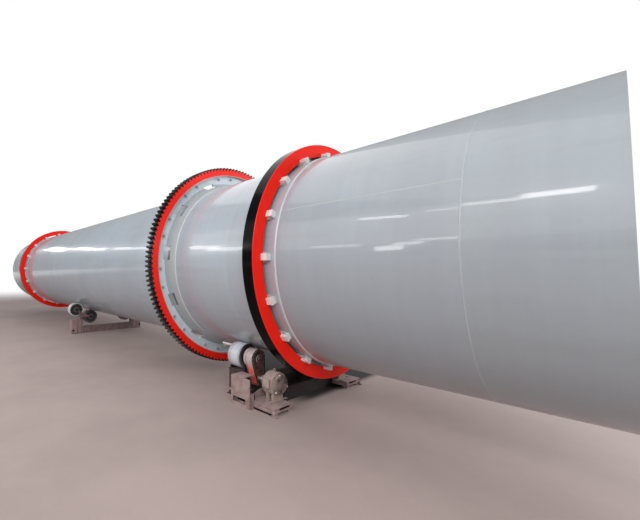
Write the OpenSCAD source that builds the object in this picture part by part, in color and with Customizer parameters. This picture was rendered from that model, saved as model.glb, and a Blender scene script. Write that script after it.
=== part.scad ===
// Rotary kiln drum on shop turning stands.
// +X runs along the kiln to its near open end, -Y is the side seen first, +Z is up.
// The origin is on the floor, under the middle of the drum.

/* [Drum shell] */
// Radius of the open bore of the drum
bore_r = 1250; // [900:10:1800]
// Thickness of the ordinary shell plate
plate_t = 25; // [12:1:40]
// Extra outside thickness of the plate courses under the tyres
tyre_course_extra = 11; // [4:1:20]
// Distance between the middles of the two tyres
tyre_spacing = 11920; // [10500:20:15000]
// Length of shell past the middle of each tyre
end_overhang = 2620; // [2200:10:3200]
// Length of the last plate course at the near end
near_cut_course = 770; // [300:10:1200]
// Length of the last plate course at the far end
far_cut_course = 770; // [300:10:1200]
// Length of the plate courses between the gear and the far tyre, but for the last
mid_course_l = 1380; // [1200:10:1380]
// Reach of a thick course past the middle of its tyre, towards the near end
course_reach_near = 211; // [200:1:260]
// Reach of a thick course past the middle of its tyre, towards the far end
course_reach_far = 535; // [400:5:540]

/* [Tyres] */
// Radial gap between the thick course and the tyre bore
tyre_gap = 31; // [20:1:45]
// Radial thickness of a tyre
tyre_t = 148; // [110:2:190]
// Width of a tyre
tyre_w = 160; // [120:5:240]
// Rounding of the tyre edges
tyre_edge = 6; // [2:1:12]
// Number of filler pads and of retaining blocks on each tyre face
pad_count = 18; // [8:1:24]
// Angle of the first pad above the -Y side
pad_first_angle = 0; // [0:1:19]
// Width of a filler pad around the shell
pad_w = 110; // [60:5:180]
// Reach of a filler pad past each tyre face
pad_reach = 40; // [20:5:45]
// Width of a retaining block around the shell
block_w = 72; // [40:2:100]
// Length of a retaining block along the shell
block_l = 82; // [50:2:100]
// Height that a retaining block stands above the tyre bore
block_lap = 30; // [15:1:50]

/* [Girth gear] */
// Number of teeth
tooth_count = 144; // [120:2:160]
// Radial room between the shell and the web, which the skirt closes
skirt_room = 70.5; // [50:0.5:110]
// Radial width of the web plate
web_w = 127; // [100:1:160]
// Radial thickness of the rim under the teeth
rim_t = 84; // [60:1:110]
// Width of the gear
gear_w = 160; // [110:5:220]
// Distance from the near tyre's middle to the gear's middle
gear_from_tyre = 1890; // [1700:10:2300]
// Distance from the gear's near face to the next shell seam
seam_from_gear = 117; // [40:1:200]
// Thickness of the web plate inside the rim
web_t = 40; // [20:2:60]
// Number of windows and of bolt pairs round the web
window_count = 12; // [8:1:14]
// Angle of the first bolt pair above the -Y side
first_bolt_angle = 20.5; // [0:0.5:29]
// Depth of the windows in the web's inner edge
window_d = 22; // [10:1:40]
// Length of the windows along the skirt
window_l = 90; // [40:5:100]
// Width of each window, in degrees
window_deg = 8.5; // [4:0.5:9]
// Thickness of the skirt that carries the web on the shell
skirt_t = 12; // [8:1:20]
// Radius of the bolt heads on the web
bolt_head_r = 21; // [12:1:28]
// Height of the bolt heads
bolt_head_h = 26; // [12:1:32]
// Distance from the web's outer edge to the bolt circle
bolt_inset = 50; // [32:1:60]
// Half of the angle between the two bolts of a pair
bolt_half_deg = 5.4; // [3:0.1:7]

/* [Rollers] */
// Height of the near roller shafts above the floor
roller_h = 529; // [440:1:700]
// Angle of the rollers below the drum's side, seen from its axis
roller_angle = 61.3; // [54:0.1:66]
// Radius of a near roller
near_roller_r = 162; // [130:1:190]
// Width of a near roller
near_roller_w = 228; // [160:4:260]
// Radius of a far roller
far_roller_r = 174; // [130:1:190]
// Width of a far roller
far_roller_w = 180; // [120:4:220]
// Thickness of the tread ring on a roller
tread_t = 34; // [15:1:50]
// Step of a roller's disc back from its tread's edges
disc_step = 8; // [4:1:20]
// Radius of a roller shaft
shaft_r = 40; // [30:1:50]
// Length of a shaft past the plates that carry it
shaft_end = 12; // [5:1:40]
// Running clearance between the drum and a roller
roll_gap = 0.3; // [0.2:0.1:1]
// Running clearance of a shaft in its bearings
shaft_gap = 0.1; // [0.05:0.01:0.1]
// Distance from the near tyre's middle to the near rollers' middle
near_rollers_from_tyre = 914; // [700:2:1100]
// Distance from the far tyre's middle to the far rollers' middle
far_rollers_from_tyre = 4485; // [3600:5:5200]

/* [Roller supports] */
// Side gap between a roller and the plates that carry it
cheek_gap = 6; // [5:0.5:12]
// Thickness of the plates that carry the rollers
cheek_t = 18; // [12:1:26]
// Radius of the bearing boss on a roller plate
boss_r = 70; // [55:1:90]
// Step of the roller plates in from the edges of their pedestal
cheek_step = 12; // [4:1:30]
// Half of the angle between the two rollers of a bogie
bogie_half_deg = 8.6; // [7.6:0.1:9.6]
// Distance of a bogie's pivot outside the roller shafts, away from the drum axis
pivot_out = 110; // [95:1:130]
// Radius of a bogie's pivot pin
pivot_r = 26; // [18:1:32]
// Radius of a bogie plate around its pivot
bogie_round = 45; // [38:1:55]
// Length of the pivot pin past the bogie plates
pivot_end = 10; // [5:1:20]

/* [Near stand] */
// Drop of a pedestal's top below the near rollers
pedestal_drop = 17; // [8:1:40]
// Depth of a near pedestal across the drum
pedestal_d = 220; // [180:5:260]
// Thickness of the pedestal plates
pedestal_wall = 14; // [8:1:20]
// Width of the transverse beam under the near rollers
near_beam_w = 228; // [160:4:270]
// Height of the transverse beams
beam_h = 165; // [120:5:185]
// Wall thickness of the transverse beams
beam_wall = 12; // [8:1:20]
// Length of an end box along the drum
end_box_l = 335; // [290:5:420]
// Depth of an end box across the drum
end_box_d = 75; // [50:1:110]
// Distance of an end box's outer face from the roller shaft
end_box_out = 300; // [260:1:360]
// Overlap of an end box's shelf with its pedestal along the drum
end_box_lap = 19; // [10:1:60]
// Wall thickness of the end boxes
end_box_wall = 12; // [8:1:16]
// Height of an end box's low end beside the bench
low_box_h = 170; // [130:5:220]
// Thickness of an end box's top, which is also the shelf behind it
shelf_t = 15; // [10:1:20]
// Length of an end box's top and shelf along the drum
shelf_l = 205; // [150:5:250]
// Distance of the fork pocket from the end box's far end
pocket_in = 29; // [20:1:60]
// Width of the fork pocket through an end box
pocket_w = 232; // [160:4:250]
// Height of the fork pocket
pocket_h = 66; // [50:2:90]
// Height of the fork pocket above the floor
pocket_z = 38; // [20:2:60]

/* [Drives] */
// Thickness of the gear case along the shaft
case_w = 160; // [130:5:190]
// Thickness of the arm that reaches down to the motor
arm_w = 125; // [90:5:150]
// Radius of the gear case around the roller shaft
case_r = 116; // [90:1:130]
// Radius of the arm's lower end
arm_r = 66; // [50:1:80]
// Distance of the arm's lower end from the roller shaft, towards the middle
arm_inset = 50; // [20:1:80]
// Distance of the arm's lower end below the motor shaft
arm_below = 58; // [40:1:64]
// Side gap between the gear case and the near roller plate
case_gap = 6; // [5:0.5:12]
// Depth of the roller shaft in the gear case
shaft_in_case = 74; // [40:1:100]
// Thickness of the case wall behind the end of the roller shaft
case_wall = 20; // [10:1:30]
// Height of the motor shaft above its bench
motor_foot_h = 200; // [180:2:240]
// Radius of the motor body
motor_r = 130; // [100:1:145]
// Length of the motor body
motor_l = 150; // [130:5:200]
// Length of the fan cover on the motor's end
fan_cover_l = 34; // [20:2:70]
// Step of the fan cover in from the motor body
fan_step = 20; // [4:1:24]
// Distance from the gear case to the motor body
motor_gap = 200; // [160:5:240]
// Radius of the motor shaft
motor_shaft_r = 26; // [16:1:36]
// Radius of the coupling on the motor shaft
coupling_r = 56; // [40:1:66]
// Length of the coupling
coupling_l = 50; // [30:1:70]
// Distance of the coupling from the gear case
coupling_from_case = 88; // [60:1:110]
// Width of the terminal box along the motor
terminal_l = 100; // [60:2:120]
// Height of the terminal box
terminal_h = 96; // [60:2:120]
// Distance of the terminal box's face from the motor's side
terminal_out = 26; // [10:1:40]
// Thickness of a motor foot along its shaft
foot_t = 44; // [20:1:55]
// Distance of the feet from the ends of the motor body
foot_in = 10; // [4:1:20]
// Distance across both feet of the motor
foot_w = 160; // [120:5:165]
// Distance from the gear case to the motor bench
bench_from_case = 100; // [85:1:115]
// Height of a motor bench
bench_h = 90; // [70:2:120]
// Length of a motor bench along the drum
bench_l = 380; // [340:5:420]
// Depth of a motor bench across the drum
bench_d = 310; // [270:5:360]
// Thickness of the motor bench's top plate
bench_plate_t = 12; // [8:1:20]
// Thickness of the motor bench's side plates
bench_wall = 10; // [6:1:16]
// Width of the legs left at the corners of a bench
bench_leg = 60; // [30:2:100]
// Height of the slots under a bench's sides
bench_slot_h = 22; // [10:1:40]
// Height of the bench's back plate at its lower and its higher end
back_low_h = 140; // [110:2:160]
// Height of the back plate at its inner end
back_high_h = 190; // [160:2:220]
// Distance of the rail between the benches from the bench's far end
rail_in = 80; // [40:2:160]
// Width of the rail between the two motor benches
rail_w = 60; // [40:5:80]
// Height of the rail
rail_h = 150; // [110:5:165]
// Wall thickness of the rail
rail_wall = 10; // [6:1:16]

/* [Far stand] */
// Width of the far transverse beam
far_beam_w = 210; // [160:5:240]
// Depth of a far pedestal across the drum
far_pedestal_d = 285; // [240:5:320]
// Side clearance between a far pedestal and the inner roller
far_clear = 28; // [10:1:40]
// Side clearance between a far pedestal and the bogie plates
lug_clear = 8; // [6:1:14]
// Drop of a far pedestal's top below the bogie's pivot
pivot_drop = 54; // [46:1:70]
// Width of the pivot lug on a far pedestal
lug_w = 90; // [70:2:110]

/* [Hidden] */
$fn = 128;

shell_r = bore_r + plate_t;
tyre_course_r = shell_r + tyre_course_extra;
tyre_bore_r = tyre_course_r + tyre_gap;
tyre_r = tyre_bore_r + tyre_t;
seat = 0.3;

// Stations along the drum
near_tyre_x = tyre_spacing / 2;
far_tyre_x = -tyre_spacing / 2;
near_end_x = near_tyre_x + end_overhang;
far_end_x = far_tyre_x - end_overhang;
near_cut_x = near_end_x - near_cut_course;
far_cut_x = far_end_x + far_cut_course;
near_course_x = near_tyre_x + course_reach_near;
near_course_back_x = near_tyre_x - course_reach_far;
far_course_x = far_tyre_x + course_reach_near;
far_course_back_x = far_tyre_x - course_reach_far;
gear_x = near_tyre_x - gear_from_tyre;
gear_seam_x = gear_x + gear_w / 2 + seam_from_gear;
mid_courses = 7;

// Girth gear, from the shell out to the tooth tips
web_in_r = shell_r + skirt_room;
rim_in_r = web_in_r + web_w;
gear_root_r = rim_in_r + rim_t;
gear_pitch_r = gear_root_r / (1 - 2.5 / tooth_count);
tooth_module = 2 * gear_pitch_r / tooth_count;
gear_tip_r = gear_pitch_r + tooth_module;
bolt_circle_r = rim_in_r - bolt_inset;
pressure_angle = 20;

// The drum lies on the near rollers, which set the height of its axis
near_reach = shell_r + roll_gap + near_roller_r;
far_reach = shell_r + roll_gap + far_roller_r;
axis_h = roller_h + near_reach * sin(roller_angle);
near_rollers_x = near_tyre_x - near_rollers_from_tyre;
far_rollers_x = far_tyre_x + far_rollers_from_tyre;
outer_angle = roller_angle - bogie_half_deg;
inner_angle = roller_angle + bogie_half_deg;
near_y = near_reach * cos(roller_angle);
near_cheek_in = near_roller_w / 2 + cheek_gap;
near_cheek_out = near_cheek_in + cheek_t;

// Stations of the near stand
pedestal_h = roller_h - near_roller_r - pedestal_drop;
shelf_y = near_y + pedestal_d / 2;
end_box_x = near_rollers_x + near_cheek_out - end_box_lap;
end_box_y = near_y + end_box_out;
case_x0 = near_rollers_x + near_cheek_out + case_gap;
case_x1 = case_x0 + case_w;
motor_x = case_x1 + motor_gap;
motor_h = bench_h + motor_foot_h;
arm_y = near_y - arm_inset;
arm_h = motor_h - arm_below;
bench_x = case_x1 + bench_from_case;
bench_y = end_box_y - end_box_d;

// Stations of the far stand
far_cheek_in = far_roller_w / 2 + cheek_gap;
far_cheek_out = far_cheek_in + cheek_t;
far_inner_y = far_reach * cos(inner_angle);
pivot_y = (far_reach + pivot_out) * cos(roller_angle);
pivot_h = axis_h - (far_reach + pivot_out) * sin(roller_angle);
far_pedestal_y = far_inner_y + far_roller_r + far_clear;
far_pedestal_h = pivot_h - pivot_drop;
far_pedestal_w = 2 * (far_cheek_in - lug_clear);

// A body of revolution about the drum axis
module about_drum(x) {
    translate([x, 0, axis_h]) rotate([0, 90, 0]) children();
}

// A plain ring about the drum axis, from x0 to x1
module drum_ring(x0, x1, r_in, r_out) {
    about_drum(x0) difference() {
        cylinder(h = x1 - x0, r = r_out, $fn = 256);
        translate([0, 0, -1]) cylinder(h = x1 - x0 + 2, r = r_in, $fn = 256);
    }
}

// Copies around the drum: angle 0 points to -Y, 90 points up
module around_drum(count, first) {
    for (i = [0 : count - 1]) {
        translate([0, 0, axis_h])
            rotate([-(first + i * 360 / count), 0, 0])
                children();
    }
}

// Both sides of a stand
module both_sides() {
    children();
    mirror([0, 1, 0]) children();
}

module course(x0, x1, extra = 0) {
    color("lightsteelblue") drum_ring(x0, x1, bore_r, shell_r + extra);
}

// The last of these courses takes what length is left
module mid_course(i) {
    x1 = gear_seam_x - (i - 1) * mid_course_l;
    course(i == mid_courses ? far_course_x : x1 - mid_course_l, x1);
}

// Tyre section turned about the drum axis, with its edges cut at 45 degrees
module tyre(x) {
    color("red") about_drum(x) rotate_extrude($fn = 256) polygon([
        [tyre_bore_r, -tyre_w / 2],
        [tyre_r - tyre_edge, -tyre_w / 2],
        [tyre_r, -tyre_w / 2 + tyre_edge],
        [tyre_r, tyre_w / 2 - tyre_edge],
        [tyre_r - tyre_edge, tyre_w / 2],
        [tyre_bore_r, tyre_w / 2]
    ]);
}

// Filler pads between the thick courses and the tyre bores
module tyre_pads() {
    pad_l = tyre_w + 2 * pad_reach;
    color("dimgray") for (x = [near_tyre_x, far_tyre_x]) {
        intersection() {
            drum_ring(x - pad_l / 2, x + pad_l / 2, tyre_course_r, tyre_bore_r - seat);
            around_drum(pad_count, pad_first_angle)
                translate([x - pad_l / 2, -tyre_r, -pad_w / 2])
                    cube([pad_l, tyre_r - tyre_course_r + 60, pad_w]);
        }
    }
}

// Blocks on both sides of each tyre, stepped over the ends of the pads
module tyre_blocks() {
    low = tyre_course_r + seat;
    high = tyre_bore_r + block_lap;
    color("whitesmoke") for (x = [near_tyre_x, far_tyre_x]) {
        around_drum(pad_count, pad_first_angle)
            for (side = [-1, 1])
                translate([x, 0, 0]) scale([side, 1, 1])
                    translate([tyre_w / 2 + seat, 0, -block_w / 2])
                        linear_extrude(height = block_w) polygon([
                            [0, -high],
                            [block_l, -high],
                            [block_l, -low],
                            [pad_reach, -low],
                            [pad_reach, -tyre_bore_r],
                            [0, -tyre_bore_r]
                        ]);
    }
}

// Half of a tooth's angle at radius r, from the involute of the base circle
function involute(a) = tan(a) * 180 / PI - a;
function half_tooth(r) = 90 / tooth_count + involute(pressure_angle)
    - involute(acos(min(1, gear_pitch_r * cos(pressure_angle) / r)));

// Rim with its teeth: each flank runs from root over pitch to tip
module gear_rim() {
    flank = [gear_root_r, gear_pitch_r, gear_tip_r];
    outline = [
        for (i = [0 : tooth_count - 1])
            for (k = [-3, -2, -1, 1, 2, 3])
                let (
                    r = flank[3 - abs(k)],
                    a = i * 360 / tooth_count + sign(k) * half_tooth(r)
                )
                [r * cos(a), r * sin(a)]
    ];
    color("red") about_drum(gear_x - gear_w / 2) difference() {
        linear_extrude(height = gear_w) polygon(outline);
        translate([0, 0, -1]) cylinder(h = gear_w + 2, r = rim_in_r, $fn = 256);
    }
}

module gear_web() {
    color("gainsboro") difference() {
        drum_ring(gear_x - web_t / 2, gear_x + web_t / 2, web_in_r, rim_in_r);
        gear_windows(window_d, web_t);
    }
}

// Cuts at the web's inner edge, this deep into the web and this far in front of its middle
module gear_windows(depth, ahead) {
    window_w = 2 * (web_in_r + window_d) * sin(window_deg / 2);
    around_drum(window_count, first_bolt_angle + 180 / window_count)
        translate([gear_x - web_t, -web_in_r - depth, -window_w / 2])
            cube([web_t + ahead, depth + 50, window_w]);
}

// Skirt that comes down from the web's bore to the shell seam in front of the gear
module gear_skirt() {
    outer_r = web_in_r - seat;
    foot_r = shell_r + seat;
    length = gear_seam_x - gear_x + web_t / 2;
    color("silver") difference() {
        about_drum(gear_x - web_t / 2) rotate_extrude($fn = 256) polygon([
            [outer_r - skirt_t, 0],
            [outer_r, 0],
            [outer_r, web_t],
            [foot_r + skirt_t, length],
            [foot_r, length],
            [outer_r - skirt_t, web_t]
        ]);
        gear_windows(1, web_t / 2 + window_l);
    }
}

module web_bolts() {
    color("dimgray") for (side = [-1, 1]) {
        around_drum(window_count, first_bolt_angle + side * bolt_half_deg)
            translate([gear_x - web_t / 2 - bolt_head_h, -bolt_circle_r, 0])
                rotate([0, 90, 0]) bolt_pair();
    }
}

// A bolt head and its nut on the two faces of the web
module bolt_pair() {
    cylinder(h = bolt_head_h - seat, r = bolt_head_r, $fn = 6);
    translate([0, 0, bolt_head_h + web_t + seat])
        cylinder(h = bolt_head_h - seat, r = bolt_head_r, $fn = 6);
}

// Puts a roller's pieces at their place; side is -1 at -Y and 1 at +Y
module roller_place(x, side, reach, angle) {
    translate([x, side * reach * cos(angle), axis_h - reach * sin(angle)])
        rotate([0, 90, 0])
            children();
}

// Tread ring of a roller
module tread(w, r) {
    color("lightgray") translate([0, 0, -w / 2]) difference() {
        cylinder(h = w, r = r);
        translate([0, 0, -1]) cylinder(h = w + 2, r = r - tread_t);
    }
}

// Disc of a roller, with its shaft out to both sides
module wheel(w, r, shaft_back, shaft_near) {
    color("dimgray") {
        translate([0, 0, -w / 2 + disc_step]) cylinder(h = w - 2 * disc_step, r = r - tread_t);
        translate([0, 0, -shaft_back]) cylinder(h = shaft_back + shaft_near, r = shaft_r);
    }
}

module near_tread(side) {
    roller_place(near_rollers_x, side, near_reach, roller_angle)
        tread(near_roller_w, near_roller_r);
}

module near_wheel(side) {
    roller_place(near_rollers_x, side, near_reach, roller_angle) wheel(
        near_roller_w, near_roller_r,
        near_cheek_out + shaft_end, near_cheek_out + case_gap + shaft_in_case
    );
}

module far_tread(side, angle) {
    roller_place(far_rollers_x, side, far_reach, angle) tread(far_roller_w, far_roller_r);
}

module far_wheel(side, angle) {
    roller_place(far_rollers_x, side, far_reach, angle)
        wheel(far_roller_w, far_roller_r, far_cheek_out + shaft_end, far_cheek_out + shaft_end);
}

// Box with walls, open below
module open_box(size, wall, top) {
    difference() {
        cube(size);
        translate([wall, wall, -1])
            cube([size[0] - 2 * wall, size[1] - 2 * wall, size[2] - top + 1]);
    }
}

// End boxes of the near stand, each with a fork pocket and a shelf behind it
module near_end_boxes() {
    low_x = shelf_l - end_box_wall;
    color("rosybrown") both_sides() {
        difference() {
            translate([end_box_x, bench_y, 0]) {
                open_box([shelf_l, end_box_d, pedestal_h], end_box_wall, shelf_t);
                translate([low_x, 0, 0])
                    open_box([end_box_l - low_x, end_box_d, low_box_h], end_box_wall, end_box_wall);
                translate([low_x, end_box_d - end_box_wall, 0])
                    cube([end_box_l - low_x, end_box_wall, pedestal_h]);
            }
            translate([end_box_x + pocket_in, bench_y - 1, pocket_z])
                cube([pocket_w, end_box_d + 2, pocket_h]);
        }
        translate([end_box_x, shelf_y, pedestal_h - shelf_t])
            cube([shelf_l, bench_y - shelf_y + 1, shelf_t]);
    }
}

// Pedestals under the near rollers
module near_pedestals() {
    color("rosybrown") both_sides()
        translate([near_rollers_x - near_cheek_out, near_y - pedestal_d / 2, 0])
            open_box([2 * near_cheek_out, pedestal_d, pedestal_h], pedestal_wall, pedestal_wall);
}

// Plates on the near pedestals that carry the roller shafts
module roller_cheeks() {
    foot = pedestal_d / 2 - cheek_step;
    neck = boss_r - cheek_step / 2;
    color("sienna") both_sides()
        for (x = [-near_cheek_out, near_cheek_in]) {
            translate([near_rollers_x + x, near_y, roller_h]) difference() {
                union() {
                    rotate([0, 90, 0]) cylinder(h = cheek_t, r = boss_r);
                    rotate([90, 0, 90]) linear_extrude(height = cheek_t) polygon([
                        [-foot, pedestal_h - roller_h],
                        [foot, pedestal_h - roller_h],
                        [neck, 0],
                        [-neck, 0]
                    ]);
                }
                translate([-1, 0, 0]) rotate([0, 90, 0])
                    cylinder(h = cheek_t + 2, r = shaft_r + shaft_gap);
            }
        }
}

// Transverse beam: a box tube across the stand
module cross_beam(x, w, half) {
    color("sienna") translate([x - w / 2, -half, 0]) difference() {
        cube([w, 2 * half, beam_h]);
        translate([beam_wall, -1, beam_wall])
            cube([w - 2 * beam_wall, 2 * half + 2, beam_h - 2 * beam_wall]);
    }
}

// Gear case: a round case on the roller shaft, and an arm that reaches down to the motor
module gear_cases() {
    color("indianred") both_sides() difference() {
        union() {
            translate([case_x0, near_y, roller_h]) rotate([0, 90, 0])
                cylinder(h = case_w, r = case_r);
            translate([case_x1 - arm_w, arm_y, arm_h]) rotate([0, 90, 0])
                cylinder(h = arm_w, r = arm_r);
            translate([case_x1 - arm_w, 0, 0]) rotate([90, 0, 90])
                linear_extrude(height = arm_w) arm_sides();
        }
        translate([case_x0 - 1, near_y, roller_h]) rotate([0, 90, 0])
            cylinder(h = case_w - case_wall + 1, r = shaft_r + shaft_gap);
    }
}

// The straight sides of the arm, tangent to the rounds at both of its ends
module arm_sides() {
    run = norm([arm_inset, roller_h - arm_h]);
    lean = atan2(arm_inset, roller_h - arm_h);
    spread = asin((case_r - arm_r) / run);
    outer = -spread - lean;
    inner = 180 + spread - lean;
    polygon([
        [near_y + case_r * cos(inner), roller_h + case_r * sin(inner)],
        [arm_y + arm_r * cos(inner), arm_h + arm_r * sin(inner)],
        [arm_y + arm_r * cos(outer), arm_h + arm_r * sin(outer)],
        [near_y + case_r * cos(outer), roller_h + case_r * sin(outer)]
    ]);
}

// Motors with their feet on the benches
module motors() {
    color("tan") both_sides() translate([motor_x, near_y, bench_h]) {
        translate([0, 0, motor_foot_h]) rotate([0, 90, 0]) {
            cylinder(h = motor_l, r = motor_r);
            translate([0, 0, motor_l - 1]) cylinder(h = fan_cover_l + 1, r = motor_r - fan_step);
        }
        for (x = [foot_in, motor_l - foot_in - foot_t])
            translate([x, -foot_w / 2, seat])
                cube([foot_t, foot_w, motor_foot_h - motor_r / 2]);
        translate([(motor_l - terminal_l) / 2, motor_r * 0.75, motor_foot_h - terminal_h / 4])
            cube([terminal_l, motor_r * 0.25 + terminal_out, terminal_h]);
    }
}

// Motor shafts with their couplings, between the gear cases and the motors
module motor_shafts() {
    color("dimgray") both_sides()
        translate([case_x1, near_y, motor_h]) rotate([0, 90, 0]) {
            translate([0, 0, seat]) cylinder(h = motor_gap - 2 * seat, r = motor_shaft_r);
            translate([0, 0, coupling_from_case]) cylinder(h = coupling_l, r = coupling_r);
        }
}

// Low plate benches that carry the motors, each with a back plate that rises inwards
module motor_benches() {
    color("rosybrown") both_sides() translate([bench_x, bench_y, 0]) {
        difference() {
            translate([0, -bench_d, 0])
                open_box([bench_l, bench_d, bench_h], bench_wall, bench_plate_t);
            translate([-1, bench_leg - bench_d, -1])
                cube([bench_l + 2, bench_d - 2 * bench_leg, bench_slot_h + 1]);
            translate([bench_leg, -bench_d - 1, -1])
                cube([bench_l - 2 * bench_leg, bench_d + 2, bench_slot_h + 1]);
        }
        rotate([90, 0, 90]) translate([0, 0, -bench_wall])
            linear_extrude(height = bench_wall) polygon([
                [-bench_d, 0],
                [0, 0],
                [0, back_low_h],
                [-bench_d / 2, back_high_h],
                [-bench_d, back_high_h]
            ]);
    }
}

// Rail that ties the two benches together
module bench_rail() {
    half = bench_y - bench_d - seat;
    color("sienna") translate([bench_x + rail_in, -half, 0]) difference() {
        cube([rail_w, 2 * half, rail_h]);
        translate([-1, -1, rail_wall])
            cube([rail_w - rail_wall + 1, 2 * half + 2, rail_h - 2 * rail_wall]);
    }
}

// Pedestals of the far stand, each with the lug of its bogie's pivot
module far_pedestals() {
    color("rosybrown") both_sides() translate([far_rollers_x - far_pedestal_w / 2, 0, 0])
        difference() {
            union() {
                translate([0, far_pedestal_y, 0]) open_box(
                    [far_pedestal_w, far_pedestal_d, far_pedestal_h], pedestal_wall, pedestal_wall
                );
                translate([0, pivot_y, pivot_h]) rotate([0, 90, 0])
                    cylinder(h = far_pedestal_w, r = lug_w / 2);
                translate([0, pivot_y - lug_w / 2, far_pedestal_h - 1])
                    cube([far_pedestal_w, lug_w, pivot_drop + 1]);
            }
            translate([-1, pivot_y, pivot_h]) rotate([0, 90, 0])
                cylinder(h = far_pedestal_w + 2, r = pivot_r + shaft_gap);
        }
}

// Bogie plates: each pair carries two rollers and turns on the pivot between them
module bogie_plates() {
    color("sienna") both_sides()
        for (x = [-far_cheek_out, far_cheek_in]) {
            translate([far_rollers_x + x, 0, 0]) difference() {
                bogie_outline();
                for (place = bogie_places()) {
                    translate([-1, place[0], place[1]]) rotate([0, 90, 0])
                        cylinder(h = cheek_t + 2, r = place[2] + shaft_gap);
                }
            }
        }
}

// Across, up and radius of the bogie's three holes
function bogie_places() = [
    [far_reach * cos(outer_angle), axis_h - far_reach * sin(outer_angle), shaft_r],
    [far_reach * cos(inner_angle), axis_h - far_reach * sin(inner_angle), shaft_r],
    [pivot_y, pivot_h, pivot_r]
];

// Rounds about the three holes, joined by a triangle
module bogie_outline() {
    places = bogie_places();
    for (place = places) {
        translate([0, place[0], place[1]]) rotate([0, 90, 0])
            cylinder(h = cheek_t, r = place[2] == shaft_r ? boss_r : bogie_round);
    }
    rotate([90, 0, 90]) linear_extrude(height = cheek_t)
        polygon([for (place = places) [place[0], place[1]]]);
}

// Pivot pins of the bogies
module bogie_pivots() {
    color("dimgray") both_sides()
        translate([far_rollers_x - far_cheek_out - pivot_end, pivot_y, pivot_h])
            rotate([0, 90, 0]) cylinder(h = 2 * (far_cheek_out + pivot_end), r = pivot_r);
}

course(near_cut_x, near_end_x);  // near_end_course
course(near_course_x, near_cut_x);  // near_long_course
course(near_course_back_x, near_course_x, tyre_course_extra);  // near_tyre_course
course(gear_seam_x, near_course_back_x);  // gear_side_course
for (i = [1 : 2 : mid_courses]) mid_course(i);  // mid_courses_odd
for (i = [2 : 2 : mid_courses]) mid_course(i);  // mid_courses_even
course(far_course_back_x, far_course_x, tyre_course_extra);  // far_tyre_course
course(far_cut_x, far_course_back_x);  // far_long_course
course(far_end_x, far_cut_x);  // far_end_course
tyre(near_tyre_x);  // near_tyre
tyre(far_tyre_x);  // far_tyre
tyre_pads();
tyre_blocks();
gear_rim();
gear_web();
gear_skirt();
web_bolts();
near_tread(-1);  // near_front_tread
near_wheel(-1);  // near_front_wheel
near_tread(1);  // near_back_tread
near_wheel(1);  // near_back_wheel
far_tread(-1, outer_angle);  // far_front_outer_tread
far_wheel(-1, outer_angle);  // far_front_outer_wheel
far_tread(-1, inner_angle);  // far_front_inner_tread
far_wheel(-1, inner_angle);  // far_front_inner_wheel
far_tread(1, outer_angle);  // far_back_outer_tread
far_wheel(1, outer_angle);  // far_back_outer_wheel
far_tread(1, inner_angle);  // far_back_inner_tread
far_wheel(1, inner_angle);  // far_back_inner_wheel
cross_beam(near_rollers_x, near_beam_w, near_y - pedestal_d / 2 - seat);  // near_cross_beam
near_end_boxes();
near_pedestals();
roller_cheeks();
gear_cases();
motors();
motor_shafts();
motor_benches();
bench_rail();
cross_beam(far_rollers_x, far_beam_w, far_pedestal_y - seat);  // far_cross_beam
far_pedestals();
bogie_plates();
bogie_pivots();
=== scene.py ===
import math

import bmesh
import bpy
from mathutils import Matrix, Vector, noise


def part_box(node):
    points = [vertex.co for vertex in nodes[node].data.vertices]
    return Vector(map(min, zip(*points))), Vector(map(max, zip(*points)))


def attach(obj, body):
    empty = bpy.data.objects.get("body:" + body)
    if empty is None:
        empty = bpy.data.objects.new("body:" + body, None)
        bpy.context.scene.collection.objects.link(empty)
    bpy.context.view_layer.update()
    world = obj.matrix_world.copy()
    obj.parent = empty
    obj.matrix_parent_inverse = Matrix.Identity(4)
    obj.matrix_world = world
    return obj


# Rotary kiln drum on its turning stands: welds, bolts, motor and stand details, and finishes.
# Metres. +X runs along the drum to the near open end, -Y faces the camera, +Z is up.

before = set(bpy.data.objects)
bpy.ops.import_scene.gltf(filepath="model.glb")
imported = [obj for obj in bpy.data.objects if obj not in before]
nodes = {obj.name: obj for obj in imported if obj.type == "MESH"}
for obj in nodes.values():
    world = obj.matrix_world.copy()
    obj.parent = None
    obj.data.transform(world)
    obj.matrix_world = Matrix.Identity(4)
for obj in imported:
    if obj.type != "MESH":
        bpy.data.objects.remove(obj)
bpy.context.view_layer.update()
print("frame loaded:", len(nodes), "nodes")

along = Vector((1, 0, 0))
across = Vector((0, 1, 0))
upward = Vector((0, 0, 1))
fullTurn = 2 * math.pi


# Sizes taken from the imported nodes

def heightOf(name):
    low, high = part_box(name)
    return high.z - low.z


def centreOf(name):
    low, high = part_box(name)
    return (low + high) / 2


def endsOf(name):
    low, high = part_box(name)
    return low.x, high.x


def nodesWith(ending, start=""):
    return sorted(name for name in nodes if name.endswith(ending) and name.startswith(start))


drumEnd = endsOf("near_end_course")[1]
drum = {
    "axis": centreOf("near_long_course").z, "shell": heightOf("near_long_course") / 2,
    "thick": heightOf("near_tyre_course") / 2, "tyre": heightOf("near_tyre") / 2,
    "gear": heightOf("gear_rim") / 2, "plate": 0.025,
}
drum["bore"] = drum["shell"] - drum["plate"]
drumCentre = upward * drum["axis"]
skirtEnds = endsOf("gear_skirt")


# Mesh helpers

def turnTo(direction):
    return upward.rotation_difference(Vector(direction).normalized()).to_matrix().to_4x4()


def spokeAt(degrees):
    angle = math.radians(degrees)
    return Vector((0, math.cos(angle), math.sin(angle)))


def onDrum(x, radius, degrees):
    return drumCentre + along * x + spokeAt(degrees) * radius


def drumTurn(degrees):
    # Takes +Z to the spoke at this angle and keeps X along the drum
    return Matrix.Rotation(math.radians(degrees - 90), 4, "X")


def blanks(count):
    return [bmesh.new() for _ in range(count)]


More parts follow.
